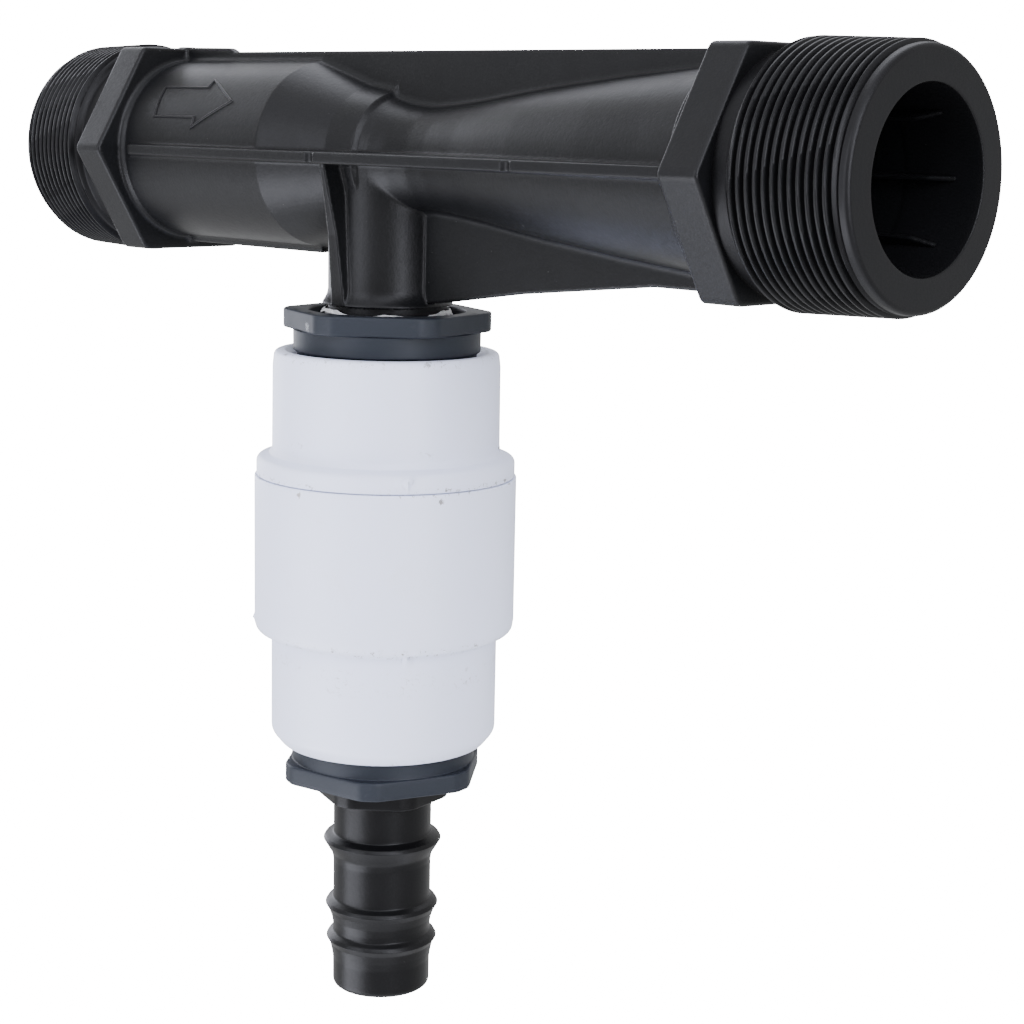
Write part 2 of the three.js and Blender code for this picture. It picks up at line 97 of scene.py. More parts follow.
def rounded(points, radii, step=0.35, closed=False):
    """A polyline with its corners rounded: points [(a, b)], one radius for each, as a dense (n, 2) array."""
    pts = [np.array(p, float) for p in points]
    n = len(pts)
    out = []
    for i in range(n):
        r = radii[i] if not np.isscalar(radii) else radii
        if not closed and i in (0, n - 1) or r <= 0:
            out.append(pts[i])
            continue
        a, p, b = pts[i - 1], pts[i], pts[(i + 1) % n]
        u, w = a - p, b - p
        lu, lw = np.linalg.norm(u), np.linalg.norm(w)
        u, w = u / lu, w / lw
        ang = math.acos(max(-1, min(1, float(u @ w))))
        if ang > math.pi - 1e-3:
            out.append(p)
            continue
        t = min(r / math.tan(ang / 2), 0.48 * lu, 0.48 * lw)
        r = t * math.tan(ang / 2)
        c = p + (u + w) / np.linalg.norm(u + w) * (r / math.sin(ang / 2))
        s, e = p + u * t, p + w * t
        a0, a1 = math.atan2(*(s - c)[::-1]), math.atan2(*(e - c)[::-1])
        d = (a1 - a0 + math.pi) % (2 * math.pi) - math.pi
        m = max(3, int(abs(d) / math.radians(15)) + 1)
        for k in range(m + 1):
            q = a0 + d * k / m
            out.append(c + r * np.array([math.cos(q), math.sin(q)]))
    out = np.array(out)
    if closed:
        out = np.vstack([out, out[:1]])
    res = [out[0]]
    for i in range(1, len(out)):
        d = np.linalg.norm(out[i] - res[-1])
        if d < 1e-5:
            continue
        if step and d > step * 4:
            m = int(math.ceil(d / (step * 4)))
            for k in range(1, m):
                res.append(out[i - 1] + (out[i] - out[i - 1]) * k / m)
        res.append(out[i])
    res = np.array(res)
    if closed and np.linalg.norm(res[0] - res[-1]) < 1e-6:
        res = res[:-1]
    return res


def loft(prof, seg, axis="Z", radius=None, move=None, closed=True):
    """A closed body of revolution from a dense profile of [radius, height]. radius(r, h, ang) gives a shape that isn't
    round, and move(points, r, h, ang) shifts the finished points."""
    prof = np.asarray(prof, float)
    n = len(prof)
    ang = np.arange(seg) * 2 * math.pi / seg
    R = np.repeat(prof[:, :1], seg, 1)
    H = np.repeat(prof[:, 1:2], seg, 1)
    A = np.repeat(ang[None, :], n, 0)
    if radius is not None:
        R = radius(R, H, A)
    P = np.stack([R * np.cos(A), R * np.sin(A), H], -1)
    if axis == "X":
        P = np.stack([H, R * np.cos(A), R * np.sin(A)], -1)
    if move is not None:
        P = move(P, R, H, A)
    verts = P.reshape(-1, 3)
    i = np.arange(n if closed else n - 1)[:, None]
    j = np.arange(seg)[None, :]
    i1, j1 = (i + 1) % n, (j + 1) % seg
    q = np.stack([i * seg + j, i * seg + j1, i1 * seg + j1, i1 * seg + j], -1).reshape(-1, 4)
    return verts, q


def outward(verts, faces):
    """Faces turned so that the enclosed volume is positive."""
    v = np.asarray(verts)
    f = faces
    a, b, c = v[f[:, 0]], v[f[:, 1]], v[f[:, 2]]
    vol = np.einsum("ij,ij->", a, np.cross(b, c))
    if f.shape[1] == 4:
        vol += np.einsum("ij,ij->", a, np.cross(c, v[f[:, 3]]))
    return f if vol > 0 else f[:, ::-1]


def capped(prof, seg, axis="Z", radius=None, move=None):
    """Like loft, for a profile whose two ends lie on the axis: the ends close on one point each."""
    prof = np.asarray(prof, float)
    inner = prof[1:-1]
    v, q = loft(inner, seg, axis, radius, move, closed=False)
    n = len(inner)
    ends = np.array([[0, 0, prof[0, 1]], [0, 0, prof[-1, 1]]]) if axis == "Z" else np.array([[prof[0, 1], 0, 0], [prof[-1, 1], 0, 0]])
    base = len(v)
    v = np.vstack([v, ends])
    j = np.arange(seg)
    t0 = np.stack([np.full(seg, base), (j + 1) % seg, j], -1)
    t1 = np.stack([np.full(seg, base + 1), (n - 1) * seg + j, (n - 1) * seg + (j + 1) % seg], -1)
    tri = np.vstack([t0, t1])
    vol = np.einsum("ij,ij->", v[q[:, 0]], np.cross(v[q[:, 1]], v[q[:, 2]])) + np.einsum("ij,ij->", v[q[:, 0]], np.cross(v[q[:, 2]], v[q[:, 3]]))
    if vol < 0:
        q, tri = q[:, ::-1], tri[:, ::-1]
    return v, [q, tri]


def hash3(ix, iy, iz, seed):
    h = (ix * 374761393 + iy * 668265263 + iz * 2147483647 + seed * 1274126177) & 0xFFFFFFFF
    h = ((h ^ (h >> 13)) * 1103515245) & 0xFFFFFFFF
    return ((h ^ (h >> 16)) & 0xFFFF) / 65535.0


def vnoise(p, scale, seed=0):
    """Smooth value noise between -1 and 1 at points p (n, 3) in millimetres."""
    q = np.asarray(p, float) / scale
    i = np.floor(q).astype(np.int64)
    f = q - i
    f = f * f * (3 - 2 * f)
    r = 0
    for dx in (0, 1):
        for dy in (0, 1):
            for dz in (0, 1):
                w = (f[..., 0] if dx else 1 - f[..., 0]) * (f[..., 1] if dy else 1 - f[..., 1]) * (f[..., 2] if dz else 1 - f[..., 2])
                r = r + w * hash3(i[..., 0] + dx, i[..., 1] + dy, i[..., 2] + dz, seed)
    return r * 2 - 1


# ---------------------------------------------------------------- materials
def tree(name):
    m = bpy.data.materials.new(name)
    m.use_nodes = True
    nt = m.node_tree
    nt.nodes.clear()
    out = nt.nodes.new("ShaderNodeOutputMaterial")
    bsdf = nt.nodes.new("ShaderNodeBsdfPrincipled")
    nt.links.new(bsdf.outputs[0], out.inputs[0])
    co = nt.nodes.new("ShaderNodeTexCoord")
    return m, nt, bsdf, co.outputs["Object"]


def add(nt, kind, **values):
    n = nt.nodes.new(kind)
    for k, v in values.items():
        setattr(n, k, v)
    return n


def noise(nt, vec, scale, detail=4.0, rough=0.55, distortion=0.0):
    n = add(nt, "ShaderNodeTexNoise")
    n.inputs["Scale"].default_value = scale
    n.inputs["Detail"].default_value = detail
    n.inputs["Roughness"].default_value = rough
    n.inputs["Distortion"].default_value = distortion
    nt.links.new(vec, n.inputs["Vector"])
    return n.outputs["Fac"]


def ramp(nt, fac, stops, interp="LINEAR"):
    n = add(nt, "ShaderNodeValToRGB")
    n.color_ramp.interpolation = interp
    e = n.color_ramp.elements
    while len(e) > 1:
        e.remove(e[-1])
    for i, (p, c) in enumerate(stops):
        s = e[0] if i == 0 else e.new(p)
        s.position = p
        s.color = (c, c, c, 1) if np.isscalar(c) else (*c, 1)
    nt.links.new(fac, n.inputs[0])
    return n.outputs[0]


def mix(nt, fac, a, b, mode="MIX"):
    n = add(nt, "ShaderNodeMix", data_type="RGBA", blend_type=mode)
    for sock, val in ((n.inputs[0], fac), (n.inputs[6], a), (n.inputs[7], b)):
        if hasattr(val, "links"):
            nt.links.new(val, sock)
        elif np.isscalar(val):
            sock.default_value = val
        else:
            sock.default_value = (*val, 1)
    return n.outputs[2]


def math_node(nt, op, a, b=None, clamp=False):
    n = add(nt, "ShaderNodeMath", operation=op, use_clamp=clamp)
    for i, val in enumerate((a, b)):
        if val is None:
            continue
        if hasattr(val, "links"):
            nt.links.new(val, n.inputs[i])
        else:
            n.inputs[i].default_value = val
    return n.outputs[0]


def bump(nt, height, strength, distance, after=None):
    n = add(nt, "ShaderNodeBump")
    n.inputs["Strength"].default_value = strength
    n.inputs["Distance"].default_value = distance
    nt.links.new(height, n.inputs["Height"])
    if after is not None:
        nt.links.new(after, n.inputs["Normal"])
    return n.outputs[0]


def specks(nt, vec, cell, size, keep):
    """Small scattered dots: 1 inside a dot. cell is cells per metre, size the dot's share of a cell, keep the share of cells that have one."""
    v = add(nt, "ShaderNodeTexVoronoi", feature="F1", distance="EUCLIDEAN")
    v.inputs["Scale"].default_value = cell
    v.inputs["Randomness"].default_value = 1.0
    nt.links.new(vec, v.inputs["Vector"])
    sep = add(nt, "ShaderNodeSeparateColor")
    nt.links.new(v.outputs["Color"], sep.inputs[0])
    on = math_node(nt, "LESS_THAN", sep.outputs[0], keep)
    grow = math_node(nt, "MULTIPLY", sep.outputs[1], size)
    inside = math_node(nt, "LESS_THAN", v.outputs["Distance"], grow)
    return math_node(nt, "MULTIPLY", on, inside)


def band(nt, vec, z, half):
    """1 at height z (mm), falling to 0 half a millimetre figure away on both sides."""
    sep = add(nt, "ShaderNodeSeparateXYZ")
    nt.links.new(vec, sep.inputs[0])
    off = math_node(nt, "ABSOLUTE", math_node(nt, "SUBTRACT", sep.outputs[2], z * MM))
    return math_node(nt, "SUBTRACT", 1.0, math_node(nt, "DIVIDE", off, half * MM), clamp=True)


def spot(nt, vec, at, radius):
    """1 in the middle of a round spot at a row-frame point (mm), falling to 0 at its radius."""
    d = add(nt, "ShaderNodeVectorMath", operation="DISTANCE")
    nt.links.new(vec, d.inputs[0])
    d.inputs[1].default_value = tuple(c * MM for c in at)
    return math_node(nt, "SUBTRACT", 1.0, math_node(nt, "DIVIDE", d.outputs["Value"], radius * MM), clamp=True)


def black_plastic(name, base, rough, spec, dust=0.5, grain=1.0):
    m, nt, b, co = tree(name)
    b.inputs["Specular IOR Level"].default_value = spec
    big = noise(nt, co, 18, 5, 0.6)
    mid = noise(nt, co, 160, 5, 0.6)
    col = mix(nt, ramp(nt, big, [(0.3, 0.0), (0.7, 1.0)]), tuple(c * 0.88 for c in base), tuple(c * 1.14 for c in base))
    col = mix(nt, ramp(nt, mid, [(0.35, 0.0), (0.75, 0.35)]), col, tuple(c * 1.35 for c in base))
    # pale dust and handling specks
    warp = add(nt, "ShaderNodeTexNoise")
    warp.inputs["Scale"].default_value = 2400
    nt.links.new(co, warp.inputs["Vector"])
    sh = add(nt, "ShaderNodeVectorMath", operation="SCALE")
    nt.links.new(warp.outputs["Color"], sh.inputs[0])
    sh.inputs["Scale"].default_value = 0.00035
    wv = add(nt, "ShaderNodeVectorMath", operation="ADD")
    nt.links.new(co, wv.inputs[0])
    nt.links.new(sh.outputs[0], wv.inputs[1])
    d1 = specks(nt, wv.outputs[0], 300, 0.085, 0.07 * dust)
    d2 = specks(nt, wv.outputs[0], 1000, 0.17, 0.03 * dust)
    d = math_node(nt, "MAXIMUM", d1, d2)
    area = ramp(nt, noise(nt, co, 30, 3, 0.6), [(0.42, 0.0), (0.62, 1.0)])
    d = math_node(nt, "MULTIPLY", d, area)
    tone = ramp(nt, noise(nt, co, 700, 2, 0.5), [(0.35, 0.02), (0.62, 0.10)])
    col = mix(nt, d, col, tone)
    nt.links.new(col, b.inputs["Base Color"])
    r = add(nt, "ShaderNodeMapRange")
    r.inputs["To Min"].default_value = rough - 0.05
    r.inputs["To Max"].default_value = rough + 0.09
    nt.links.new(noise(nt, co, 90, 6, 0.65), r.inputs["Value"])
    rr = math_node(nt, "ADD", r.outputs[0], math_node(nt, "MULTIPLY", d, 0.3), clamp=True)
    nt.links.new(rr, b.inputs["Roughness"])
    fine = noise(nt, co, 2600, 3, 0.6)
    coarse = noise(nt, co, 900, 5, 0.62)
    n1 = bump(nt, fine, 0.30 * grain, 0.00007)
    n2 = bump(nt, coarse, 0.34 * grain, 0.00016, n1)
    n3 = bump(nt, d, 0.3, 0.00006, n2)
    nt.links.new(n3, b.inputs["Normal"])
    return m


def pvc(name, base, rough, spec, stain=(0.55, 0.50, 0.40), dirt=1.0, sss=0.0, scuff=1.0, seam_dirt_and_shadow_bands=(), spots=()):
    m, nt, b, co = tree(name)
    b.inputs["Specular IOR Level"].default_value = spec
    b.inputs["IOR"].default_value = 1.5
    if sss:
        b.inputs["Subsurface Weight"].default_value = sss
        b.inputs["Subsurface Radius"].default_value = (0.9, 0.85, 0.8)
        b.inputs["Subsurface Scale"].default_value = 0.002
    big = noise(nt, co, 22, 4, 0.55)
    col = mix(nt, ramp(nt, big, [(0.3, 0.0), (0.7, 1.0)]), tuple(c * 0.975 for c in base), tuple(min(1, c * 1.015) for c in base))
    # faint warm grime in patches
    grime = ramp(nt, noise(nt, co, 42, 6, 0.7, 0.6), [(0.60, 0.0), (0.80, 0.16 * dirt)])
    col = mix(nt, grime, col, stain)
    # bands of dark flecks at given heights: dirt along seams and rims, and a wide band of painted shadow under the
    # lower shoulder
    for z, half, lo, top in seam_dirt_and_shadow_bands:
        fleck = ramp(nt, noise(nt, co, 620, 7, 0.75, 0.8), [(0.56, 0.0), (0.62, 1.0)])
        patch = ramp(nt, noise(nt, co, 48, 3, 0.6), [(lo, 0.0), (lo + 0.10, 1.0)])
        near = ramp(nt, band(nt, co, z, half), [(0.1, 0.0), (0.6, 1.0)])
        col = mix(nt, math_node(nt, "MULTIPLY", math_node(nt, "MULTIPLY", fleck, patch), math_node(nt, "MULTIPLY", near, top)), col, (0.13, 0.12, 0.11))
    for at, radius, tint, share in spots:
        rag = noise(nt, co, 1500, 6, 0.8)
        on = ramp(nt, math_node(nt, "ADD", math_node(nt, "MULTIPLY", spot(nt, co, at, radius), 0.45), math_node(nt, "MULTIPLY", rag, 1.0)), [(0.74, 0.0), (0.80, share)])
        inside = ramp(nt, spot(nt, co, at, radius), [(0.0, 0.0), (0.12, 1.0)])
        col = mix(nt, math_node(nt, "MULTIPLY", on, inside), col, tint)
    # small dark specks and rubbed marks
    s1 = specks(nt, co, 420, 0.14, 0.03 * dirt)
    s2 = specks(nt, co, 1300, 0.20, 0.02 * dirt)
    where = ramp(nt, noise(nt, co, 35, 3, 0.6), [(0.5, 0.0), (0.68, 1.0)])
    s = math_node(nt, "MULTIPLY", math_node(nt, "MAXIMUM", s1, s2), where)
    col = mix(nt, math_node(nt, "MULTIPLY", s, 0.7), col, (0.16, 0.15, 0.14))
    nt.links.new(col, b.inputs["Base Color"])
    r = add(nt, "ShaderNodeMapRange")
    r.inputs["To Min"].default_value = rough - 0.06
    r.inputs["To Max"].default_value = rough + 0.10
    nt.links.new(noise(nt, co, 70, 6, 0.65), r.inputs["Value"])
    nt.links.new(r.outputs[0], b.inputs["Roughness"])
    # scratches: noise stretched along one way
    mp = add(nt, "ShaderNodeMapping")
    mp.inputs["Scale"].default_value = (1.0, 1.0, 0.12)
    mp.inputs["Rotation"].default_value = (0.5, 0.3, 0.0)
    nt.links.new(co, mp.inputs["Vector"])
    scr = ramp(nt, noise(nt, mp.outputs[0], 900, 3, 0.7), [(0.62, 0.0), (0.72, 1.0)])
    coarse = noise(nt, co, 260, 4, 0.55)
    n1 = bump(nt, coarse, 0.10, 0.00010)
    n2 = bump(nt, noise(nt, co, 2200, 2, 0.5), 0.10, 0.00003, n1)
    n3 = bump(nt, scr, 0.10 * scuff, 0.00003, n2)
    nt.links.new(n3, b.inputs["Normal"])
    return m


def tape_material():
    m, nt, b, co = tree("thread_tape")
    b.inputs["Specular IOR Level"].default_value = 0.35
    b.inputs["Subsurface Weight"].default_value = 0.3
    b.inputs["Subsurface Radius"].default_value = (1, 1, 1)
    b.inputs["Subsurface Scale"].default_value = 0.001
    f = noise(nt, co, 500, 6, 0.7, 1.0)
    nt.links.new(ramp(nt, f, [(0.3, (0.42, 0.43, 0.44)), (0.65, (0.80, 0.80, 0.79))]), b.inputs["Base Color"])
    nt.links.new(ramp(nt, f, [(0.2, 0.35), (0.8, 0.7)]), b.inputs["Roughness"])
    nt.links.new(bump(nt, noise(nt, co, 1100, 5, 0.7, 1.5), 0.7, 0.0002), b.inputs["Normal"])
    return m


def rubber_material():
    m, nt, b, co = tree("seal_rubber")
    b.inputs["Specular IOR Level"].default_value = 0.3
    nt.links.new(ramp(nt, noise(nt, co, 120, 5), [(0.3, 0.012), (0.7, 0.022)]), b.inputs["Base Color"])
    nt.links.new(ramp(nt, noise(nt, co, 300, 5), [(0.2, 0.6), (0.8, 0.8)]), b.inputs["Roughness"])
    nt.links.new(bump(nt, noise(nt, co, 1800, 3), 0.3, 0.00005), b.inputs["Normal"])
    return m


def steel_material(name, base, rough, stretch):
    m, nt, b, co = tree(name)
    b.inputs["Metallic"].default_value = 1.0
    mp = add(nt, "ShaderNodeMapping")
    mp.inputs["Scale"].default_value = stretch
    nt.links.new(co, mp.inputs["Vector"])
    f = noise(nt, mp.outputs[0], 1500, 4, 0.6)
    nt.links.new(mix(nt, f, tuple(c * 0.85 for c in base), tuple(min(1, c * 1.1) for c in base)), b.inputs["Base Color"])
    r = add(nt, "ShaderNodeMapRange")
    r.inputs["To Min"].default_value = rough - 0.06
    r.inputs["To Max"].default_value = rough + 0.1
    nt.links.new(f, r.inputs["Value"])
    nt.links.new(r.outputs[0], b.inputs["Roughness"])
    nt.links.new(bump(nt, f, 0.15, 0.00003), b.inputs["Normal"])
    return m


M_BLACK = black_plastic("black_plastic", (0.0036, 0.0037, 0.0042), 0.37, 0.19, dust=1.0)
M_THREAD = black_plastic("black_thread_plastic", (0.0034, 0.0034, 0.0039), 0.40, 0.155, dust=0.5, grain=0.6)
M_BARB = black_plastic("barb_plastic", (0.0030, 0.0030, 0.0034), 0.34, 0.17, dust=0.25, grain=0.6)
M_GREY = pvc("grey_pvc", (0.0155, 0.0185, 0.0245), 0.46, 0.19, stain=(0.16, 0.17, 0.18), dirt=0.7,
             spots=[((OX - 1.9, -25.6, -43.6), 2.9, (0.17, 0.18, 0.19), 0.9)])
M_WHITE = pvc("white_pvc", (0.72, 0.76, 0.93), 0.38, 0.45, sss=0.08,
              # dark fleck bands (z, half width, patch threshold, strength): seam and rim dirt; the wide band at -135.5
              # is painted shadow under the lower shoulder
              seam_dirt_and_shadow_bands=[(-84.2, 1.5, 0.42, 0.9), (-127.2, 2.2, 0.38, 0.95), (-73.5, 3.5, 0.48, 0.45), (-51.8, 1.6, 0.42, 0.7), (-135.5, 5.0, 0.50, 0.4), (-158.0, 1.5, 0.42, 0.6)],
              spots=[((OX + 35.46 * math.cos(math.radians(-18)), 35.46 * math.sin(math.radians(-18)), -86.6), 1.5, (0.16, 0.14, 0.12), 0.85),
                     ((OX + 30.6 * math.cos(math.radians(37)), 30.6 * math.sin(math.radians(37)), -76.4), 1.9, (0.06, 0.055, 0.05), 0.95),
                     ((OX + 35.4 * math.cos(math.radians(-81)), 35.4 * math.sin(math.radians(-81)), -86.2), 1.5, (0.25, 0.22, 0.18), 0.8),
                     ((OX + 33 * math.cos(math.radians(-34)), 33 * math.sin(math.radians(-34)), -81.6), 2.6, (0.45, 0.43, 0.42), 0.5),
                     ((OX + 33 * math.cos(math.radians(-30)), 33 * math.sin(math.radians(-30)), -127.8), 2.6, (0.40, 0.38, 0.36), 0.5)])
M_INNER = pvc("white_inner_plastic", (0.74, 0.75, 0.79), 0.42, 0.4, dirt=0.2)
M_TAPE = tape_material()
M_RUBBER = rubber_material()
M_SPRING = steel_material("spring_steel", (0.56, 0.57, 0.58), 0.28, (1, 1, 0.3))
M_SCREW = steel_material("screw_steel", (0.5, 0.5, 0.51), 0.25, (1, 1, 1))


# ------------------------------------------------------- the injector's body
# The moulding is one smooth solid: its parts are distance functions joined
# with fillets, and the surface is found on a grid and then moved onto the
# exact solid.
IN_HEX, OUT_HEX = (-97.2, -86.05), (122.3, 133.6)
INLET, OUTLET = -129.2, 169.9
F4 = np.float32

SHELL = rounded([(-97.0, 25.4), (-86.05, 25.4), (-85.2, 25.2), (-84.3, 24.8), (-25.5, 24.8), (-4.6, 18.5), (4.4, 17.15), (5.2, 15.7), (7.15, 15.05),
                 (7.3, 15.12), (7.5, 14.92), (13.0, 13.75), (20, 13.15), (27, 13.6), (38.4, 14.9), (48, 16.35), (61, 18.15), (86, 21.0), (106, 22.9), (122.3, 24.7), (134, 24.7)],
                [0, 0, 0.6, 1.0, 1.2, 0.15, 0.4, 0.7, 0.05, 0.05, 0.2, 20.0, 20.0, 30.0, 60.0, 60.0, 60.0, 60.0, 60.0, 0, 0], step=0.2)
BORE = rounded([(-135, 20.5), (-62, 20.5), (-24, 12.6), (-6, 5.2), (-3.3, 5.2), (-3.0, 13.2), (-0.8, 13.2), (1.0, 6.5), (9, 6.5), (52, 12.0), (118, 18.9), (140, 20.0), (172, 20.5)],
               [0, 6, 8, 2, 0.2, 0.2, 0.5, 0.6, 12, 60, 20, 10, 0], step=0.2)


def prof_r(table, x):
    return np.interp(x, table[:, 0], table[:, 1]).astype(F4)


def prof_c(table, x):
    """Cosine of the profile's slope, which turns a radial offset into a distance."""
    dx = np.diff(table[:, 0])
    s = np.diff(table[:, 1]) / np.where(np.abs(dx) < 1e-4, 1e-4, dx)
    mid = (table[1:, 0] + table[:-1, 0]) / 2
    return (1 / np.sqrt(1 + np.interp(x, mid, s) ** 2)).astype(F4)


def smin(a, b, k):
    h = np.maximum(k - np.abs(a - b), 0) / k
    return np.minimum(a, b) - h * h * (k / 4)


def smax(a, b, k):
    h = np.maximum(k - np.abs(a - b), 0) / k
    return np.maximum(a, b) + h * h * (k / 4)


def half_plane(x, z, a, b):
    """Signed distance to the line from a to b, positive on its left."""
    dx, dz = b[0] - a[0], b[1] - a[1]
    n = math.hypot(dx, dz)
    return ((z - a[1]) * dx - (x - a[0]) * dz) / n


def convex(x, z, pts, k):
    """Signed distance to a convex outline whose points run clockwise, corners eased by k."""
    d = None
    for i in range(len(pts)):
        h = half_plane(x, z, pts[i], pts[(i + 1) % len(pts)])
        d = h if d is None else smax(d, h, k)
    return d


def body_sdf(x, y, z):
    """Distance from the moulding's surface at points in local millimetres, negative inside."""
    rho = np.hypot(y, z)
    ay = np.abs(y)
    d = (rho - prof_r(SHELL, x)) * prof_c(SHELL, x)
    d = smax(d, np.abs(x - 18.5) - 113.0, 0.5)
    # vertical web above and below, with small drafts
    k = 0.7
    t = 1.45
    web = np.minimum(convex(x, z, [(-90, 0.0), (-90, 29.0), (-66.9, 28.7), (-64.6, 27.6), (-64.0, 0.0)], 0.5),
                     convex(x, z, [(-70, 0.0), (-70, 27.6), (126, 27.6), (126, 0.0)], 0.5))
    web = np.minimum(web, convex(x, z, [(-90, -26.6), (-90, 0.0), (-25.4, 0.0), (-25.4, -26.6)], 1.2))
    out = np.minimum(convex(x, z, [(0, -37.3), (0, 0), (52, 0), (50, -32.6), (19.0, -37.3)], 0.6), convex(x, z, [(48, -32.8), (48, 0), (97, 0), (97, -27.4)], 0.3))
    out = np.minimum(out, convex(x, z, [(93, -27.6), (93, 0), (126, 0), (126, -27.5)], 0.3))
    web = np.minimum(web, out)
    gin = np.minimum(convex(x, z, [(-21.5, -14), (-21.5, 0), (0, 0), (0, -27), (-18.7, -27)], 0.3), convex(x, z, [(-18.9, -37.4), (-18.9, -24), (0, -24), (0, -37.4)], 0.8))
    web = np.minimum(web, gin)
    web = smax(web, ay - t, k)
    # horizontal rib, notched at two ejector marks
    rx = smax(smax(ay - 28.0, -82.3 - x, 0.9), x - 126, 0.5)
    rx = smax(rx, (-(x + 79.0) + (ay - 28.0)) * 0.7071, 0.9)
    for cx in (0.4, 71.5):
        rx = smax(rx, 1.75 - np.hypot(x - cx, ay - 28.8), 0.15)
    rib = smax(rx, np.abs(z) - t, k)
    # gusset across the port, thicker towards its foot
    gus = np.minimum(convex(ay, z, [(-2, -21.0), (-2, 0), (23.9, 0), (23.4, -2.5), (19.5, -21.0)], 0.2), convex(ay, z, [(-2, -38.2), (-2, -20), (19.72, -20), (17.77, -38.2)], 0.3))
    gus = smax(gus, np.abs(x) - (0.78 - 0.048 * z), k)
    # suction port, flared at its foot
    pr = np.hypot(x, y)
    flare = 15.95 + 1.8 * np.clip((-34.2 - z) / 4.3, 0, 1) ** 2.0
    port = smax(pr - flare.astype(F4), -38.5 - z, 0.7)
    port = smax(port, z + 2, 0.5)
    thread = smax(smax(pr - 15.9, -57.5 - z, 1.6), z + 30, 0.5)
    d = smin(d, web, 2.0)
    d = smin(d, smin(rib, gus, 0.8), 1.1)
    d = smin(d, port, 0.8)
    d = np.minimum(d, thread)
    # hexagons
    for h0, h1 in (IN_HEX, OUT_HEX):
        if x.min() > h1 + 4 or x.max() < h0 - 4:
            continue
        hx = None
        for q in range(3):
            a = math.pi / 2 + q * math.pi / 3
            p = np.abs(y * math.cos(a) + z * math.sin(a)) - 28.65
            hx = p if hx is None else smax(hx, p, 0.5)
        hx = smax(hx, rho - 32.75, 0.5)
        hx = smax(hx, np.abs(x - (h0 + h1) / 2) - (h1 - h0) / 2, 0.95)
        d = smin(d, hx, 1.1)
    # cores under the pipe threads
    if x.max() > 116:
        d = smin(d, smax(smax(rho - 26.9, 120 - x, 0.5), x - 160.0, 0.5), 0.8)
    if x.min() < -88:
        d = smin(d, smax(smax(rho - 26.9, x + 90, 0.5), -119.5 - x, 0.5), 0.8)
    # water path; it opens wider inside the threaded ends, which are pieces of their own there
    step = np.clip((x - 149.6) / 0.9, 0, 1) + np.clip((-109.0 - x) / 0.9, 0, 1)
    wide = prof_r(BORE, x)
    flared = wide + (step * step * (3 - 2 * step) * 0.8).astype(F4)
    bore = (rho - flared) * prof_c(BORE, x)
    suck = np.minimum(smax(pr - 9.0, z + 19, 0.6), smax(np.hypot(x + 2.5, y) - 2.4, z + 11, 0.3))
    cutd = smin(bore, suck, 0.6)
    d = smax(d, -cutd, 0.4)
    # straightening vanes in the outlet end
    if x.max() > 108:
        ph = np.arctan2(z, y)
        seg = math.pi / 4
        f = (ph + seg / 2) % seg - seg / 2
        top = np.interp(x, [110, 116, 157, 163.5, 164.5], [21.5, 15.9, 17.9, 20.2, 21.5]).astype(F4)
        van = smax(np.abs(rho * np.sin(f)) - 0.55, top - rho, 0.4)
        van = smax(van, rho - (wide + 1.4), 0.2)
        van = smax(van, np.maximum(x - 163.8, 113 - x), 0.2)
        d = np.minimum(d, van)
    return d.astype(F4)


POOL = ThreadPoolExecutor(4)


def evaluate(sdf, p):
    """sdf at many points (n, 3), in cache-sized chunks on several threads."""
    n, size = len(p), 24576
    out = np.empty(n, F4)

    def part(s):
        q = np.ascontiguousarray(p[s:s + size].T.astype(F4))
        out[s:s + size] = sdf(q[0], q[1], q[2])

    list(POOL.map(part, range(0, n, size)))
    return out


def gradient(sdf, v, e=0.04):
    g = np.empty((len(v), 3))
    for i in range(3):
        q = v.copy()
        q[:, i] += e
        a = evaluate(sdf, q)
        q[:, i] -= 2 * e
        g[:, i] = (a - evaluate(sdf, q)) / (2 * e)
    return g


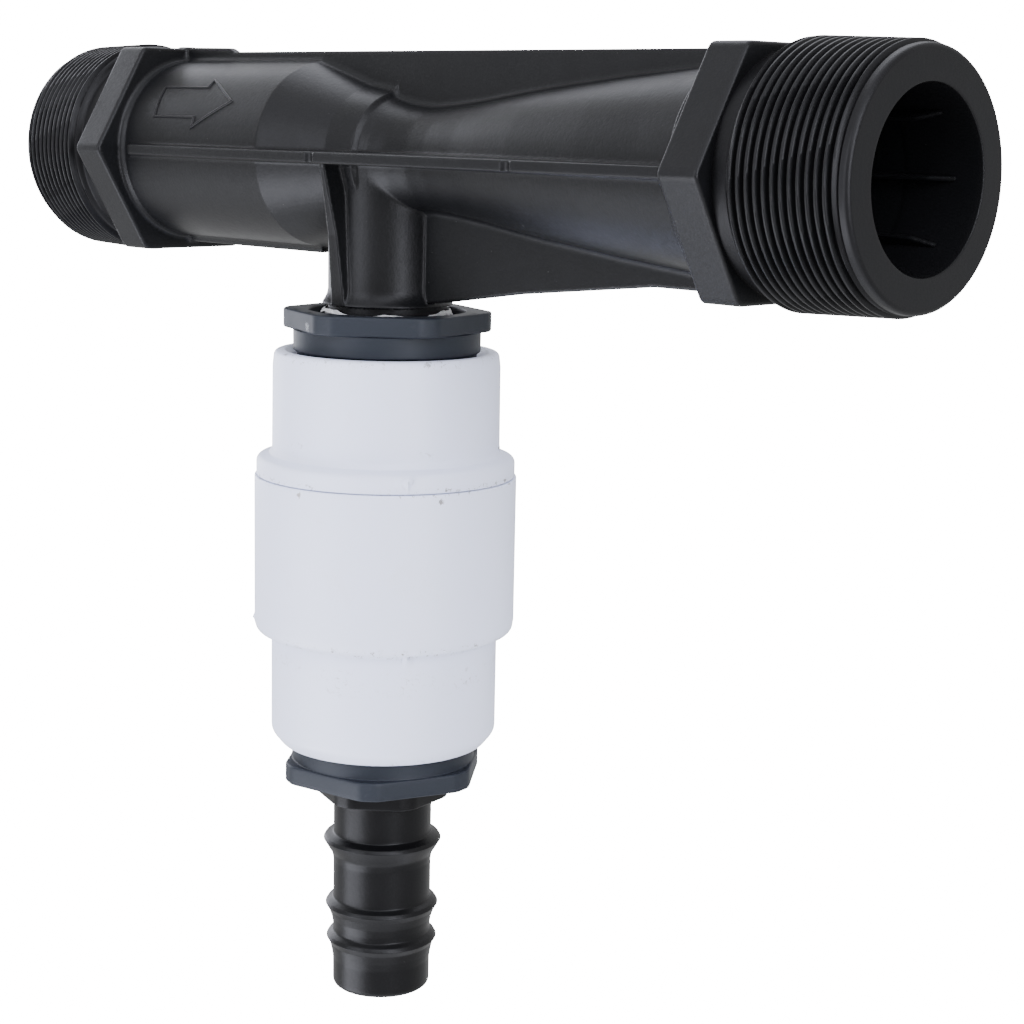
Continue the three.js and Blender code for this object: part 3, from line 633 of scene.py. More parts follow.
def grid_surface(sdf, lo, hi, h):
    """Dual contouring of sdf = 0 on a grid of pitch h: points and faces."""
    cs = 5
    cn = np.ceil((np.array(hi) - np.array(lo)) / (h * cs)).astype(int)
    n = cn * cs + 1
    ax = [lo[i] + h * np.arange(n[i]) for i in range(3)]
    # coarse pass: only blocks near the surface are worked out finely
    cc = np.stack(np.meshgrid(*[lo[i] + h * cs * (np.arange(cn[i]) + 0.5) for i in range(3)], indexing="ij"), -1).reshape(-1, 3)
    cv = evaluate(sdf, cc)
    act = (np.abs(cv) < h * cs * 0.87 * 1.25 + 1.0).reshape(cn)
    vals = np.empty(n, F4)
    vals[...] = 9
    big = np.where(cv < 0, F4(-9), F4(9)).reshape(cn)
    vals[:-1, :-1, :-1] = np.repeat(np.repeat(np.repeat(big, cs, 0), cs, 1), cs, 2)
    need = np.zeros(n, bool)
    m = np.repeat(np.repeat(np.repeat(act, cs, 0), cs, 1), cs, 2)
    for dx in (0, 1):
        for dy in (0, 1):
            for dz in (0, 1):
                need[dx:dx + m.shape[0], dy:dy + m.shape[1], dz:dz + m.shape[2]] |= m
    g = np.argwhere(need)
    vals[need] = evaluate(sdf, np.stack([ax[i][g[:, i]] for i in range(3)], -1))
    del g, need, m
    neg = vals < 0
    cells = n - 1
    keys, hits, quads = [], [], []
    count = 0
    for a in range(3):
        sl0, sl1 = [slice(None)] * 3, [slice(None)] * 3
        sl0[a], sl1[a] = slice(0, -1), slice(1, None)
        e = np.argwhere(neg[tuple(sl0)] != neg[tuple(sl1)])
        b, c = (a + 1) % 3, (a + 2) % 3
        e = e[(e[:, b] > 0) & (e[:, b] < n[b] - 1) & (e[:, c] > 0) & (e[:, c] < n[c] - 1)]
        v0 = vals[e[:, 0], e[:, 1], e[:, 2]]
        e1 = e.copy()
        e1[:, a] += 1
        v1 = vals[e1[:, 0], e1[:, 1], e1[:, 2]]
        p = np.stack([ax[i][e[:, i]] for i in range(3)], -1)
        p[:, a] += v0 / (v0 - v1) * h
        quad = []
        for db, dc in ((0, 0), (-1, 0), (-1, -1), (0, -1)):
            q = e.copy()
            q[:, b] += db
            q[:, c] += dc
            quad.append((q[:, 0] * cells[1] + q[:, 1]) * cells[2] + q[:, 2])
        quad = np.stack(quad, -1)
        keys.append(quad.copy())
        flip = v0 < 0
        quad[~flip] = quad[~flip][:, ::-1]
        quads.append(quad)
        hits.append(p)
    hits = np.concatenate(hits)
    keys = np.concatenate(keys)
    nrm = gradient(sdf, hits)
    nrm /= np.maximum(np.linalg.norm(nrm, axis=1, keepdims=True), 1e-6)
    uniq, inv = np.unique(keys.ravel(), return_inverse=True)
    who = np.repeat(np.arange(len(hits)), 4)
    m = len(uniq)
    cnt = np.bincount(inv, minlength=m)
    add_up = lambda w: np.bincount(inv, w[who], minlength=m)
    mass = np.stack([add_up(hits[:, i]) for i in range(3)], -1) / cnt[:, None]
    pn = (hits * nrm).sum(1)
    A = np.zeros((m, 3, 3))
    for i in range(3):
        for j in range(i, 3):
            A[:, i, j] = A[:, j, i] = add_up(nrm[:, i] * nrm[:, j])
    rhs = np.stack([add_up(nrm[:, i] * pn) for i in range(3)], -1)
    lam = 0.12
    A[:, [0, 1, 2], [0, 1, 2]] += lam
    v = np.linalg.solve(A, (rhs + lam * mass)[:, :, None])[:, :, 0]
    off = v - mass
    far = np.linalg.norm(off, axis=1) / (0.65 * h)
    v = mass + off / np.maximum(far, 1)[:, None]
    for _ in range(2):
        d = evaluate(sdf, v)
        gr = gradient(sdf, v)
        step = np.clip(d / np.maximum((gr ** 2).sum(-1), 0.4), -h / 2, h / 2)
        v -= step[:, None] * gr
    return v, np.searchsorted(uniq, np.concatenate(quads))


def area_normals(me):
    """Vertex normals weighted by face area, so that flats stay flat beside their rounded edges."""
    v = np.empty(len(me.vertices) * 3, np.float32)
    me.vertices.foreach_get("co", v)
    v = v.reshape(-1, 3).astype(float)
    me.calc_loop_triangles()
    t = np.empty(len(me.loop_triangles) * 3, np.int32)
    me.loop_triangles.foreach_get("vertices", t)
    t = t.reshape(-1, 3)
    n = np.cross(v[t[:, 1]] - v[t[:, 0]], v[t[:, 2]] - v[t[:, 0]]) * 1e6
    out = np.zeros_like(v)
    for c in range(3):
        for i in range(3):
            out[:, i] += np.bincount(t[:, c], n[:, i], minlength=len(v))
    out /= np.maximum(np.linalg.norm(out, axis=1, keepdims=True), 1e-12)
    return out


def thinned(o, faces):
    """Collapses the object's mesh to about that many triangles, keeping its curved places."""
    have = sum(len(p.vertices) - 2 for p in o.data.polygons)
    if have > faces:
        mod = o.modifiers.new("thin", "DECIMATE")
        mod.ratio = faces / have
        dg = bpy.context.evaluated_depsgraph_get()
        me = bpy.data.meshes.new_from_object(o.evaluated_get(dg))
        o.modifiers.clear()
        old = o.data
        name = old.name
        o.data = me
        bpy.data.meshes.remove(old)
        me.name = name
    me = o.data
    me.polygons.foreach_set("use_smooth", np.ones(len(me.polygons), bool))
    me.normals_split_custom_set_from_vertices([tuple(q) for q in area_normals(me)])
    return o


def build_body():
    h = 0.45
    v, f = grid_surface(body_sdf, (-120.3, -34.4, -59.1), (161.7, 34.4, 31.2), h)
    o = new_mesh("injector_moulding", v, f, M_BLACK, ROOT, ("injector_body",))
    return thinned(o, 220000)


build_body()


# Raised flow arrow on the barrel: a moulded line along the outline
def arrow():
    R, mid = 24.8, math.radians(33.3)
    pts = np.array([(-74.2, 11.0), (-54.6, 11.0), (-54.5, 17.9), (-40.7, 0.3), (-54.4, -17.9), (-54.4, -11.3), (-72.6, -11.3)])
    pts[:, 1] *= math.pi / 180 * R
    n = len(pts)
    sec = [(-0.42, -0.4), (-0.36, 0.12), (-0.22, 0.33), (-0.10, 0.38), (0.10, 0.38), (0.22, 0.33), (0.36, 0.12), (0.42, -0.4)]
    rows = []
    mit = []
    for i in range(n):
        a, b, c = pts[i - 1], pts[i], pts[(i + 1) % n]
        u, w = (b - a) / np.linalg.norm(b - a), (c - b) / np.linalg.norm(c - b)
        nu, nw = np.array([-u[1], u[0]]), np.array([-w[1], w[0]])
        m = (nu + nw) / np.linalg.norm(nu + nw)
        mit.append(m / max(0.42, m @ nu))
    for i in range(n):
        b, c = pts[i], pts[(i + 1) % n]
        k = max(2, int(np.linalg.norm(c - b) / 0.6))
        for j in range(k):
            t = j / k
            p = b + (c - b) * t
            w = (c - b) / np.linalg.norm(c - b)
            m = mit[i] if j == 0 else np.array([-w[1], w[0]])
            rows.append([(p[0] + m[0] * s, p[1] + m[1] * s, hgt) for s, hgt in sec])
    rows = np.array(rows)
    th = mid + rows[..., 1] / R
    rad = R + rows[..., 2]
    P = np.stack([rows[..., 0], -rad * np.cos(th), rad * np.sin(th)], -1)
    m, k = P.shape[:2]
    i, j = np.arange(m)[:, None], np.arange(k)[None, :]
    q = np.stack([i * k + j, i * k + (j + 1) % k, (i + 1) % m * k + (j + 1) % k, (i + 1) % m * k + j], -1).reshape(-1, 4)
    v = P.reshape(-1, 3)
    o = new_mesh("flow_arrow_relief", v, outward(v, q), M_BLACK, ROOT, ("injector_body",))
    creased(o, 50)


def creased(o, angle=28):
    """Smooth shading with hard edges above the angle."""
    me = o.data
    me.polygons.foreach_set("use_smooth", np.ones(len(me.polygons), bool))
    with bpy.context.temp_override(object=o, active_object=o, selected_objects=[o], selected_editable_objects=[o]):
        bpy.ops.object.shade_smooth_by_angle(angle=math.radians(angle))
    return o


arrow()

# ---------------------------------------------------------------- threads
PITCH = 2.209
TURN = 256


def tooth(u):
    """Thread form over one pitch, 0 at the root and 1 at the crest."""
    u = np.abs((u % 1.0) - 0.5) * 2          # 0 at the crest's middle, 1 at the root's
    f = np.clip((0.86 - u) / 0.66, 0, 1)
    return f * f * (3 - 2 * f)


def threaded_end(name, end, sign, length, first, clear, fade_at, core):
    """Nose, tapered helical thread and bore of one pipe end: a closed sleeve.
    sign is +1 for the outlet; first is the distance of a crest from the end face, at the front."""
    a = np.concatenate([np.arange(0, clear, 0.12), np.arange(clear, length + 0.001, 0.2)])
    ang = np.arange(TURN) * 2 * math.pi / TURN
    s = a[:, None] + 0 * ang[None, :]
    A = 0 * s + ang[None, :]
    crest = 29.45 + (s - 3.1) / 33
    root = crest - 1.75
    u = (s - first) / PITCH + (A - math.pi) / (2 * math.pi) * sign + 0.5
    fade = np.clip((s - clear) / 1.3, 0, 1) * np.clip((fade_at - s) / 2.6, 0, 1)
    nose = np.interp(s, [0, 0.12, 0.35, 0.7, 1.1, clear, clear + 0.8], [27.55, 27.85, 28.18, 28.45, 28.57, 28.62, 27.0])
    base = np.maximum(root * (s > clear - 0.6) + 27.0 * (s <= clear - 0.6), nose)
    neck = np.clip((s - fade_at + 2.2) / 2.2, 0, 1)
    base = base * (1 - neck) + 27.5 * neck
    R = base + np.maximum(crest - base, 0) * tooth(u) * fade
    inner = rounded([(27.4, length + 0.5), (26.4, length + 0.5), (26.4, core + 1.2), (prof_r(BORE, end - sign * core) + 0.15, core + 0.9), (prof_r(BORE, end - sign * core) - 0.03, core + 0.25), (20.5, 0.0), (24.0, 0.0)],
                    [0, 0, 0, 0, 0, 0.35, 0], step=0.4)
    inner = inner[inner[:, 0] > -1]
    keep = ~((inner[:, 1] < 1e-6) & (inner[:, 0] > 21.0))
    face = np.array([[21.4, 0.0], [23.0, 0.0], [25.0, 0.0], [26.6, 0.0], [27.3, 0.0]])
    tail = np.vstack([inner[keep], face])
    R = np.vstack([R, np.repeat(tail[:, :1], TURN, 1)])
    S = np.vstack([s, np.repeat(tail[:, 1:2], TURN, 1)])
    A = np.repeat(ang[None, :], len(R), 0)
    P = np.stack([end - sign * S, R * np.cos(A), R * np.sin(A)], -1)
    n = len(R)
    i = np.arange(n)[:, None]
    j = np.arange(TURN)[None, :]
    i1, j1 = (i + 1) % n, (j + 1) % TURN
    q = np.stack([i * TURN + j, i * TURN + j1, i1 * TURN + j1, i1 * TURN + j], -1).reshape(-1, 4)
    v = P.reshape(-1, 3)
    return creased(new_mesh(name, v, outward(v, q), M_THREAD, ROOT, ("injector_body",)), 50)


threaded_end("outlet_thread_end", OUTLET, 1, 36.6, 3.3, 2.3, 32.4, 20.0)
threaded_end("inlet_thread_end", INLET, -1, 32.3, 2.2, 1.4, 27.4, 20.0)

# ------------------------------------------------------------ lathed pieces
SEG_L = 256


def lathed(name, points, radii, mat, body, replaces, seg=SEG_L, radius=None, move=None, step=0.35, axis="Z"):
    on_axis = points[0][0] == 0 and points[-1][0] == 0
    prof = rounded(points, radii, step, closed=not on_axis)
    if on_axis:
        v, f = capped(prof, seg, axis, radius, move)
    else:
        v, q = loft(prof, seg, axis, radius, move)
        f = outward(v, q)
    return creased(new_mesh(name, v, f, mat, body, replaces))


def hex_radius(ang, apothem, corner, turn):
    """Radius of a hexagon with rounded corners at each angle."""
    a = (ang - math.radians(turn) + math.pi / 6) % (math.pi / 3) - math.pi / 6
    flat = apothem / np.cos(a)
    k = 0.55
    hgt = np.maximum(k - np.abs(flat - corner), 0) / k
    return np.minimum(flat, corner) - hgt * hgt * k / 4


# White check valve: two shells
def nubs(spots):
    """Mould marks and weld flash: small raised blobs at (angle in degrees, z, radius, height)."""
    def move(P, R, H, A):
        out = R > 29.2
        for deg, z, r, hgt, sd in spots:
            da = (A - math.radians(deg) + math.pi) % (2 * math.pi) - math.pi
            dist = np.hypot(da * R, H - z)
            w = np.clip(1 - dist / r, 0, 1)
            w = w * w * (3 - 2 * w) * out
            pts = P + 0.0
            nz = 0.6 + 0.9 * vnoise(pts, 0.7, sd)
            lift = hgt * w * np.clip(nz, -0.5, 1.3)
            P = P + np.stack([np.cos(A) * lift, np.sin(A) * lift, 0 * lift], -1)
        return P
    return move


lathed("check_valve_upper_shell",
       [(27.4, -51.0), (25.6, -52.3), (24.4, -53.4), (24.4, -77.0), (20.0, -77.0), (20.0, -81.0), (27.0, -81.0), (27.0, -96.0), (30.2, -96.0), (30.2, -84.5),
        (34.95, -84.5), (34.95, -79.7), (31.5, -78.75), (30.75, -77.3), (30.6, -55), (30.15, -51.0)],
       [1.0, 0.3, 0.3, 0.3, 0.3, 0.3, 0.3, 0.3, 0.3, 0.2, 0.25, 1.7, 0.7, 0.9, 8, 2.0],
       M_WHITE, ROOT, ("valve_body_upper",), seg=384, step=0.22,
       move=nubs([(-34, -81.9, 2.6, 1.5, 1), (-31, -80.6, 1.5, 1.0, 2), (-37.5, -83.2, 1.4, 0.8, 12), (37.5, -76.9, 1.6, 1.0, 3), (35.5, -79.0, 1.8, 0.55, 4), (-118, -84.0, 1.0, 0.25, 5)]))
lathed("check_valve_lower_shell",
       [(30.5, -84.72), (30.5, -124.4), (23.6, -125.0), (22.9, -127.8), (19.8, -127.8), (18.9, -126.0), (17.0, -126.0), (17.0, -134.1), (24.4, -134.1), (24.4, -156.8), (26.2, -158.9),
        (28.0, -158.9), (30.85, -155.4), (30.85, -128.9), (31.5, -127.7), (35.0, -127.3), (35.46, -124.3), (35.46, -84.72)],
       [0.2, 0.8, 0.4, 0.4, 0.4, 0.5, 0.5, 0.4, 0.4, 0.4, 0.5, 2.2, 3.4, 0.6, 0.6, 2.6, 3.5, 0.35],
       M_WHITE, ROOT, ("valve_body_lower",), seg=360, step=0.36,
       move=nubs([(-31, -128.9, 2.2, 1.6, 6), (-27, -127.2, 1.5, 0.7, 7), (-44, -126.9, 1.7, 0.55, 8), (-14, -126.4, 1.6, 0.5, 13), (28, -88.0, 0.9, 0.4, 9), (-126, -124.5, 1.6, 0.7, 10)]))


# Reducer bushings: hexagonal flange running into a round shoulder and spigot
def bushing(name, flange_top, flange_low, turn, up, nodes):
    """up is +1 when the spigot points down, as on the upper bushing."""
    s = up
    ft, fb = (flange_top, flange_low) if up > 0 else (flange_low, flange_top)
    z = lambda dz: ft - s * dz                # distance from the flange's open face
    th = abs(flange_top - flange_low)
    end = 36.6 if up > 0 else 35.8
    pts = [(17.1, z(3.4)), (21.0, z(3.4)), (21.0, z(0)), (27.9, z(0)), (27.9, z(th)), (25.2, z(th)), (25.15, z(th + 5.6)), (24.1, z(th + 6.2)), (24.0, z(end)),
           (15.0, z(end)), (15.0, z(22)), (17.1, z(20))]
    rad = [0.3, 0.4, 0.6, 0.55, 0.55, 0.35, 0.5, 0.4, 1.0, 0.5, 0.3, 0.3]
    if up < 0:
        pts[0:3] = [(17.1, z(0.6)), (17.5, z(0.2)), (17.7, z(0))]
        rad[0:3] = [0, 0, 0.1]
    prof = rounded(pts, rad, 0.3, closed=True)

    def radius(R, H, A):
        hx = hex_radius(A, 25.4, 27.9, turn)
        # outer flange points follow the hexagon; the rounding at its edges keeps its offset
        lo_r, hi_r = 25.2, 27.9
        depth = (ft - H) * s
        on = (depth <= th + 0.02) & (R > 21.6)
        f = np.clip((R - lo_r + 2.0) / (hi_r - lo_r + 2.0), 0, 1)
        inner = R
        target = hx - (27.9 - R)
        mixr = np.where(R > 25.6, target, inner)
        flat = np.where(R > 25.6, np.maximum(target, 24.2), np.minimum(inner, hx - 1.2))
        return np.where(on, flat, R)

    v, q = loft(prof, 384, "Z", radius)
    return creased(new_mesh(name, v, outward(v, q), M_GREY, ROOT, nodes), 24)


bushing("upper_reducer_bushing", -40.1, -45.3, -49, 1, ("upper_bushing",))
bushing("lower_reducer_bushing", -163.7, -168.9, -20, -1, ("lower_bushing",))


# Hose barb
def barb_radius(R, H, A):
    hx = hex_radius(A, 16.7, 18.1, 10)
    on = (H < -169.1) & (H > -175.5) & (R > 15.2)
    return np.where(on, hx - (18.1 - R), R)


RIDGES = [(-187.5, 16.4), (-206.4, 15.75), (-216.2, 15.45)]
pts, rad = [(10.2, -152.6), (15.0, -152.6), (16.0, -154.0), (16.0, -168.6), (15.0, -169.2), (18.1, -169.2), (18.1, -174.9), (14.2, -174.9), (13.62, -175.9)], [0.4, 0.4, 0.4, 0.2, 0.1, 0.5, 0.5, 0.6, 0.8]
for z, r in RIDGES:
    pts += [(13.6, z + 1.75), (r - 0.55, z + 0.85), (r, z - 0.1), (r - 0.95, z - 1.7), (13.95, z - 4.2), (13.6, z - 6.4)]
    rad += [0.55, 0.4, 0.2, 1.6, 3.0, 5.0]
pts += [(13.55, -230.5), (10.2, -230.5)]
rad += [1.8, 0.6]
prof = rounded(pts, rad, 0.24, closed=True)
v, q = loft(prof, 256, "Z", barb_radius)
creased(new_mesh("hose_barb_fitting", v, outward(v, q), M_BARB, ROOT, ("hose_barb",)), 32)


# Sealing tape: a wound sleeve with a crumpled edge standing in the mouth
def tape(name, z0, z1, collar, nodes, seed):
    seg = 360
    ang = np.arange(seg) * 2 * math.pi / seg
    rows = []
    if collar:
        base = [(16.3, z0), (16.8, z0), (16.8, z1)]
        m = 14
        for k in range(m):
            t = k / (m - 1)
            rows.append((16.8 + 3.7 * t, z1 + 0.9 - 1.1 * t, 1 + t, -0.14))
        top = [(16.8 + 3.7 * (1 - k / (m - 1)), z1 + 0.9 - 1.1 * (1 - k / (m - 1)), 2 - k / (m - 1), 0.14) for k in range(m)]
        prof = [(r, z, 0, 0) for r, z in base] + rows + top + [(16.3, z1 + 1.4, 0.3, 0)]
    else:
        prof = [(r, z, 0, 0) for r, z in ((16.3, z0), (16.8, z0), (16.8, z1), (16.3, z1))]
    prof = np.array(prof)
    n = len(prof)
    A = np.repeat(ang[None], n, 0)
    R = np.repeat(prof[:, :1], seg, 1)
    Z = np.repeat(prof[:, 1:2], seg, 1)
    W = np.repeat(prof[:, 2:3], seg, 1)
    T = np.repeat(prof[:, 3:4], seg, 1)
    pc = np.stack([17 * np.cos(A), 17 * np.sin(A), R * 0.8], -1)
    e = vnoise(pc, 2.6, seed) * 0.5 + vnoise(pc, 1.0, seed + 1) * 0.35
    reach = np.clip(0.35 + 0.75 * vnoise(np.stack([17 * np.cos(A), 17 * np.sin(A), 0 * A], -1), 6.0, seed + 3) + 0.3 * vnoise(pc * [1, 1, 0], 1.4, seed + 4), 0.05, 1)
    on = W > 0
    # the loose film stands out at two sides of the pipe and shows as a sliver at the front
    turn = A - math.radians(-42)
    side = np.clip((np.abs(np.sin(turn)) - 0.50) / 0.35, 0, 1)
    side = side * side * (3 - 2 * side)
    sliver = np.exp(-((np.mod(turn + math.pi, 2 * math.pi) - math.pi) / math.radians(13)) ** 2)
    reach = reach * (0.08 + 0.92 * side)
    Z = Z + np.where(on, np.clip(W, 0, 1) * (1.0 * side - 2.0 * (1 - side) * (1 - sliver) + 0.15 * sliver), 0)
    R = np.where(on, 16.8 + (R - 16.8) * reach, R)
    Z = Z + np.where(on, e * 0.75 * np.clip(W, 0, 1) + T, 0)
    P = np.stack([R * np.cos(A), R * np.sin(A), Z], -1)
    i = np.arange(n)[:, None]
    j = np.arange(seg)[None, :]
    i1, j1 = (i + 1) % n, (j + 1) % seg
    q = np.stack([i * seg + j, i * seg + j1, i1 * seg + j1, i1 * seg + j], -1).reshape(-1, 4)
    v = P.reshape(-1, 3)
    return new_mesh(name, v, outward(v, q), M_TAPE, ROOT, nodes)


tape("upper_sealing_tape", -55.0, -41.6, True, ("upper_thread_tape",), 11)
tape("lower_sealing_tape", -169.6, -154.4, False, ("lower_thread_tape",), 21)

# ----------------------------------------------------------- valve internals
lathed("poppet_disc_and_stem",
       [(0, -122.5), (21.6, -122.5), (21.6, -119.3), (20.4, -118.5), (10.4, -118.5), (10.1, -117.2), (9.0, -117.2), (8.8, -118.5), (5.9, -118.5), (5.2, -117.6),
        (5.2, -100.3), (3.2, -100.3), (3.2, -80.6), (2.4, -79.6), (0, -79.6)],
       [0, 0.5, 0.4, 0.6, 0.2, 0.3, 0.3, 0.2, 0.4, 0.5, 0.3, 0.4, 0.4, 0.5, 0], M_INNER, MOVING, ("poppet",), seg=160)
lathed("poppet_seal_disc", [(1.9, -125.7), (20.9, -125.7), (20.9, -122.8), (1.9, -122.8)], [0.2, 0.6, 0.4, 0.2], M_RUBBER, MOVING, ("poppet_seal",), seg=160)
lathed("seal_retainer_plate", [(1.9, -128.0), (11.8, -128.0), (13.2, -127.0), (13.2, -126.05), (1.9, -126.05)], [0.2, 0.6, 0.5, 0.3, 0.2], M_INNER, MOVING, ("seal_retainer",), seg=128)


def screw_move(P, R, H, A):
    # a straight slot across the head
    w = (H < -129.6) & (np.abs(P[..., 1]) < 0.5)
    P = P + 0.0
    P[..., 2] = np.where(w, np.maximum(P[..., 2], -129.65), P[..., 2])
    return P


lathed("retainer_screw_slotted",
       [(0, -130.7), (1.0, -130.68), (2.0, -130.6), (3.1, -130.3), (4.0, -129.5), (4.0, -128.3), (1.6, -128.3), (1.6, -114.5), (0.8, -113.9), (0, -113.9)],
       [0, 0, 0, 0.5, 0.4, 0.2, 0.2, 0.3, 0.3, 0], M_SCREW, MOVING, ("retainer_screw",), seg=128, move=screw_move, step=0.12)


def spider_sdf(x, y, z):
    r = np.hypot(x, y)
    ring = smax(smax(r - 26.7, 23.4 - r, 0.5), np.abs(z + 82.8) - 1.5, 0.6)
    hub = smax(r - 5.2, smax(-90.0 - z, z + 81.3, 0.4), 0.6)
    arms = None
    for k in range(3):
        a = math.radians(90 + 120 * k)
        u = x * math.cos(a) + y * math.sin(a)
        t = -x * math.sin(a) + y * math.cos(a)
        arm = smax(smax(np.abs(t) - 1.4, smax(-u, u - 25.0, 0.3), 0.3), np.abs(z + 82.8) - 1.5, 0.6)
        arms = arm if arms is None else np.minimum(arms, arm)
    d = smin(smin(ring, arms, 1.4), hub, 1.4)
    return smax(d, 3.5 - r, 0.3).astype(F4)


v, f = grid_surface(spider_sdf, (-27.6, -27.6, -91.0), (27.6, 27.6, -80.4), 0.45)
thinned(new_mesh("stem_guide_spider", v, f, M_INNER, ROOT, ("guide_spider",)), 30000)


# Return spring: ground flat ends, wound closer at both ends
def spring():
    turns, per, side = 7, 40, 14
    n = turns * per + 1
    t = np.linspace(0, 1, n)
    z0, z1 = -117.6, -85.2
    lead = 1.45
    z = np.where(t < 0.1, z0 + lead * 0.5 * t / 0.1, np.where(t > 0.9, z1 - lead * 0.5 * (1 - t) / 0.1, z0 + lead / 2 + (z1 - z0 - lead) * (t - 0.1) / 0.8))
    k = np.ones(9) / 9
    z = np.convolve(np.pad(z, 4, mode="edge"), k, "valid")
    a = 2 * math.pi * turns * t
    c = np.stack([7.7 * np.cos(a), 7.7 * np.sin(a), z], -1)
    tan = np.gradient(c, axis=0)
    tan /= np.linalg.norm(tan, axis=1, keepdims=True)
    out = np.stack([np.cos(a), np.sin(a), 0 * a], -1)
    out -= (out * tan).sum(1, keepdims=True) * tan
    out /= np.linalg.norm(out, axis=1, keepdims=True)
    up = np.cross(tan, out)
    b = np.arange(side) * 2 * math.pi / side
    r = 0.6 * np.minimum(1, np.minimum(np.arange(n) + 0.55, n - 0.45 - np.arange(n)) / 1.6) ** 0.5
    ring = c[:, None] + r[:, None, None] * (np.cos(b)[None, :, None] * out[:, None] + np.sin(b)[None, :, None] * up[:, None])
    v = ring.reshape(-1, 3)
    base = len(v)
    v = np.vstack([v, c[0] - tan[0] * 0.05, c[-1] + tan[-1] * 0.05])
    i = np.arange(n - 1)[:, None]
    j = np.arange(side)[None, :]
    q = np.stack([i * side + j, i * side + (j + 1) % side, (i + 1) * side + (j + 1) % side, (i + 1) * side + j], -1).reshape(-1, 4)
    jj = np.arange(side)
    t0 = np.stack([np.full(side, base), (jj + 1) % side, jj], -1)
    t1 = np.stack([np.full(side, base + 1), (n - 1) * side + jj, (n - 1) * side + (jj + 1) % side], -1)
    tri = np.vstack([t0, t1])
    vol = np.einsum("ij,ij->", v[q[:, 0]], np.cross(v[q[:, 1]], v[q[:, 2]]))
    if vol < 0:
        q, tri = q[:, ::-1], tri[:, ::-1]
    o = new_mesh("return_spring_coil", v, [q, tri], M_SPRING, None)
    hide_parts("return_spring")
    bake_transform(o)


spring()

# -------------------------------------------------------- floor, light, view
# A white sweep: white where the camera looks past the object, and a dim even glow for everything else.
AMBIENT = 0.95
LIGHTS = [  # name, azimuth, height angle, width, height, brightness
    ("left", -98, 12, 0.55, 1.1, 5.9),
    ("right", -14, 12, 0.40, 1.1, 12.8),
    ("front", -42, 38, 0.90, 0.6, 4.0),
    ("top", -60, 82, 1.20, 1.2, 1.6),
    ("top_left", -105, 48, 0.90, 0.7, 1.1),
    ("top_back", 130, 55, 1.20, 0.8, 2.6),
    ("back_left", 175, 10, 0.90, 1.0, 4.0),
    ("under", -60, -80, 1.60, 1.6, 1.7),
    ("low_left", -115, -35, 1.00, 0.7, 8.8),
]
W = bpy.data.worlds.new("studio")
bpy.context.scene.world = W
W.use_nodes = True
nt = W.node_tree
nt.nodes.clear()
wo = nt.nodes.new("ShaderNodeOutputWorld")
glow = nt.nodes.new("ShaderNodeBackground")
glow.inputs[0].default_value = (0.985, 0.99, 1.0, 1)
glow.inputs[1].default_value = AMBIENT
white = nt.nodes.new("ShaderNodeBackground")
white.inputs[0].default_value = (1.0, 1.0, 1.0, 1)
white.inputs[1].default_value = 17.0
path = nt.nodes.new("ShaderNodeLightPath")
both = nt.nodes.new("ShaderNodeMixShader")
nt.links.new(path.outputs["Is Camera Ray"], both.inputs[0])
nt.links.new(glow.outputs[0], both.inputs[1])
nt.links.new(white.outputs[0], both.inputs[2])
nt.links.new(both.outputs[0], wo.inputs[0])

me = bpy.data.meshes.new("floor")
s, fz = 30.0, -0.42
me.from_pydata([(-s, -s, fz), (s, -s, fz), (s, s, fz), (-s, s, fz)], [], [(0, 1, 2, 3)])
fl = bpy.data.materials.new("pale_floor")
fl.use_nodes = True
fb = fl.node_tree.nodes["Principled BSDF"]
fb.inputs["Base Color"].default_value = (0.93, 0.93, 0.935, 1)
fb.inputs["Roughness"].default_value = 0.9
fb.inputs["Specular IOR Level"].default_value = 0.1
fb.inputs["Emission Color"].default_value = (1.0, 1.0, 1.0, 1)
fb.inputs["Emission Strength"].default_value = 16.5
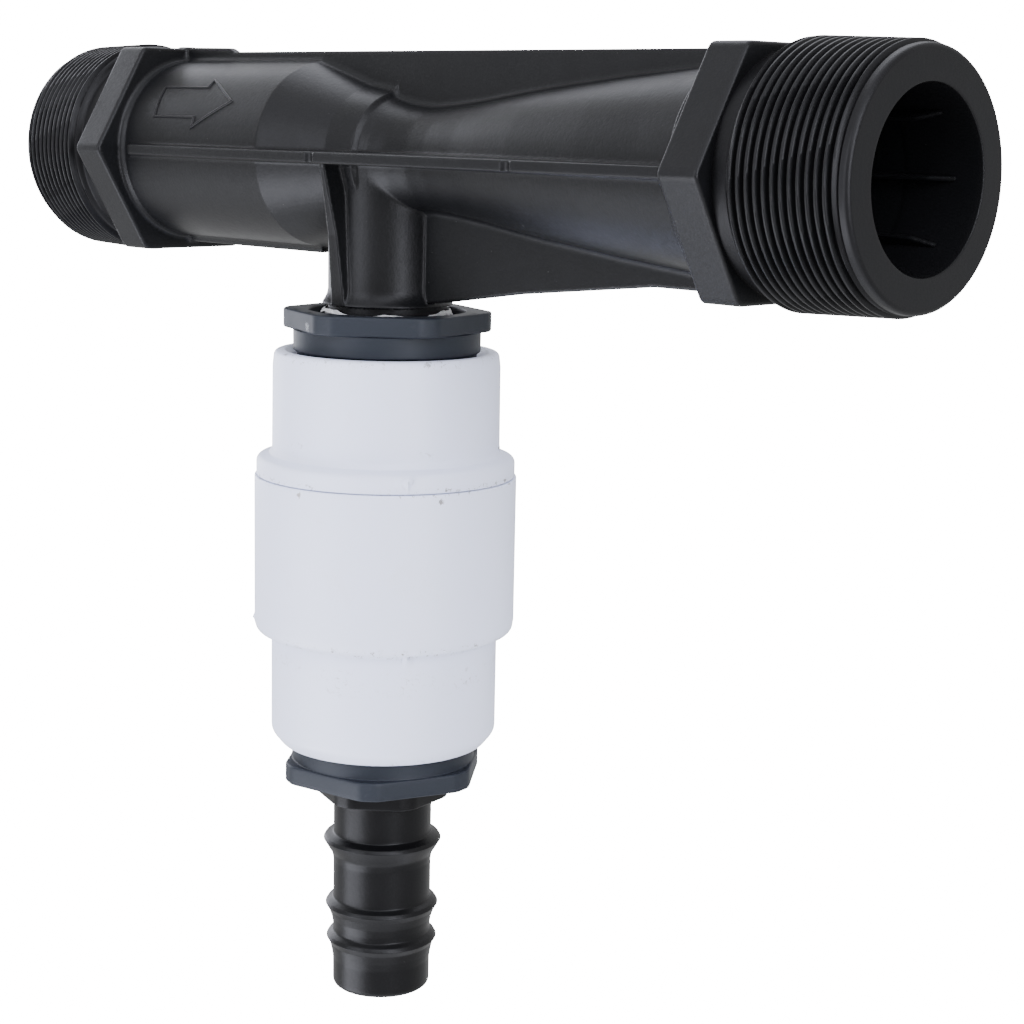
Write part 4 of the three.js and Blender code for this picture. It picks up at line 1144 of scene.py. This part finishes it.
# the floor is one-sided: seen from underneath it is clear
ft = fl.node_tree
side = ft.nodes.new("ShaderNodeNewGeometry")
clear = ft.nodes.new("ShaderNodeBsdfTransparent")
one = ft.nodes.new("ShaderNodeMixShader")
ft.links.new(side.outputs["Backfacing"], one.inputs[0])
ft.links.new(fb.outputs[0], one.inputs[1])
ft.links.new(clear.outputs[0], one.inputs[2])
ft.links.new(one.outputs[0], ft.nodes["Material Output"].inputs["Surface"])
me.materials.append(fl)
floor = bpy.data.objects.new("floor", me)
bpy.context.scene.collection.objects.link(floor)
for ray in ("visible_diffuse", "visible_glossy", "visible_transmission", "visible_shadow"):
    setattr(floor, ray, False)

MID = Vector((0.15, 0.0, -0.07))
for name, az, el, sx, sy, bright in LIGHTS:
    lamp = bpy.data.lights.new(name, "AREA")
    lamp.shape = "RECTANGLE"
    lamp.size, lamp.size_y = sx, sy
    lamp.energy = math.pi * sx * sy * bright
    lamp.color = (0.945, 0.962, 1.07)
    o = bpy.data.objects.new(name, lamp)
    bpy.context.scene.collection.objects.link(o)
    az, el = math.radians(az), math.radians(el)
    d = Vector((math.cos(az) * math.cos(el), math.sin(az) * math.cos(el), math.sin(el)))
    o.location = MID + d * 1.3
    o.rotation_euler = (-d).to_track_quat("-Z", "Y").to_euler()

f_px = 2159.303
C = Vector(((431.76581 + OX) * MM, -386.4369 * MM, 12.03208 * MM))
a, p, ro = 0.78123574, -0.18236075, 0.02086007
fwd = Vector((-math.sin(a) * math.cos(p), math.cos(a) * math.cos(p), math.sin(p)))
right = Vector((math.cos(a), math.sin(a), 0))
up = right.cross(fwd)
r2 = right * math.cos(ro) + up * math.sin(ro)
u2 = right * -math.sin(ro) + up * math.cos(ro)
cam = bpy.data.cameras.new("camera")
cam.sensor_fit = "HORIZONTAL"
cam.sensor_width = 36.0
cam.lens = f_px / 1024 * 36.0
cam.clip_start = 0.02
cam.clip_end = 200.0
co = bpy.data.objects.new("camera", cam)
bpy.context.scene.collection.objects.link(co)
m = Matrix((r2, u2, -fwd)).transposed().to_4x4()
m.translation = C
co.matrix_world = m
bpy.context.scene.camera = co
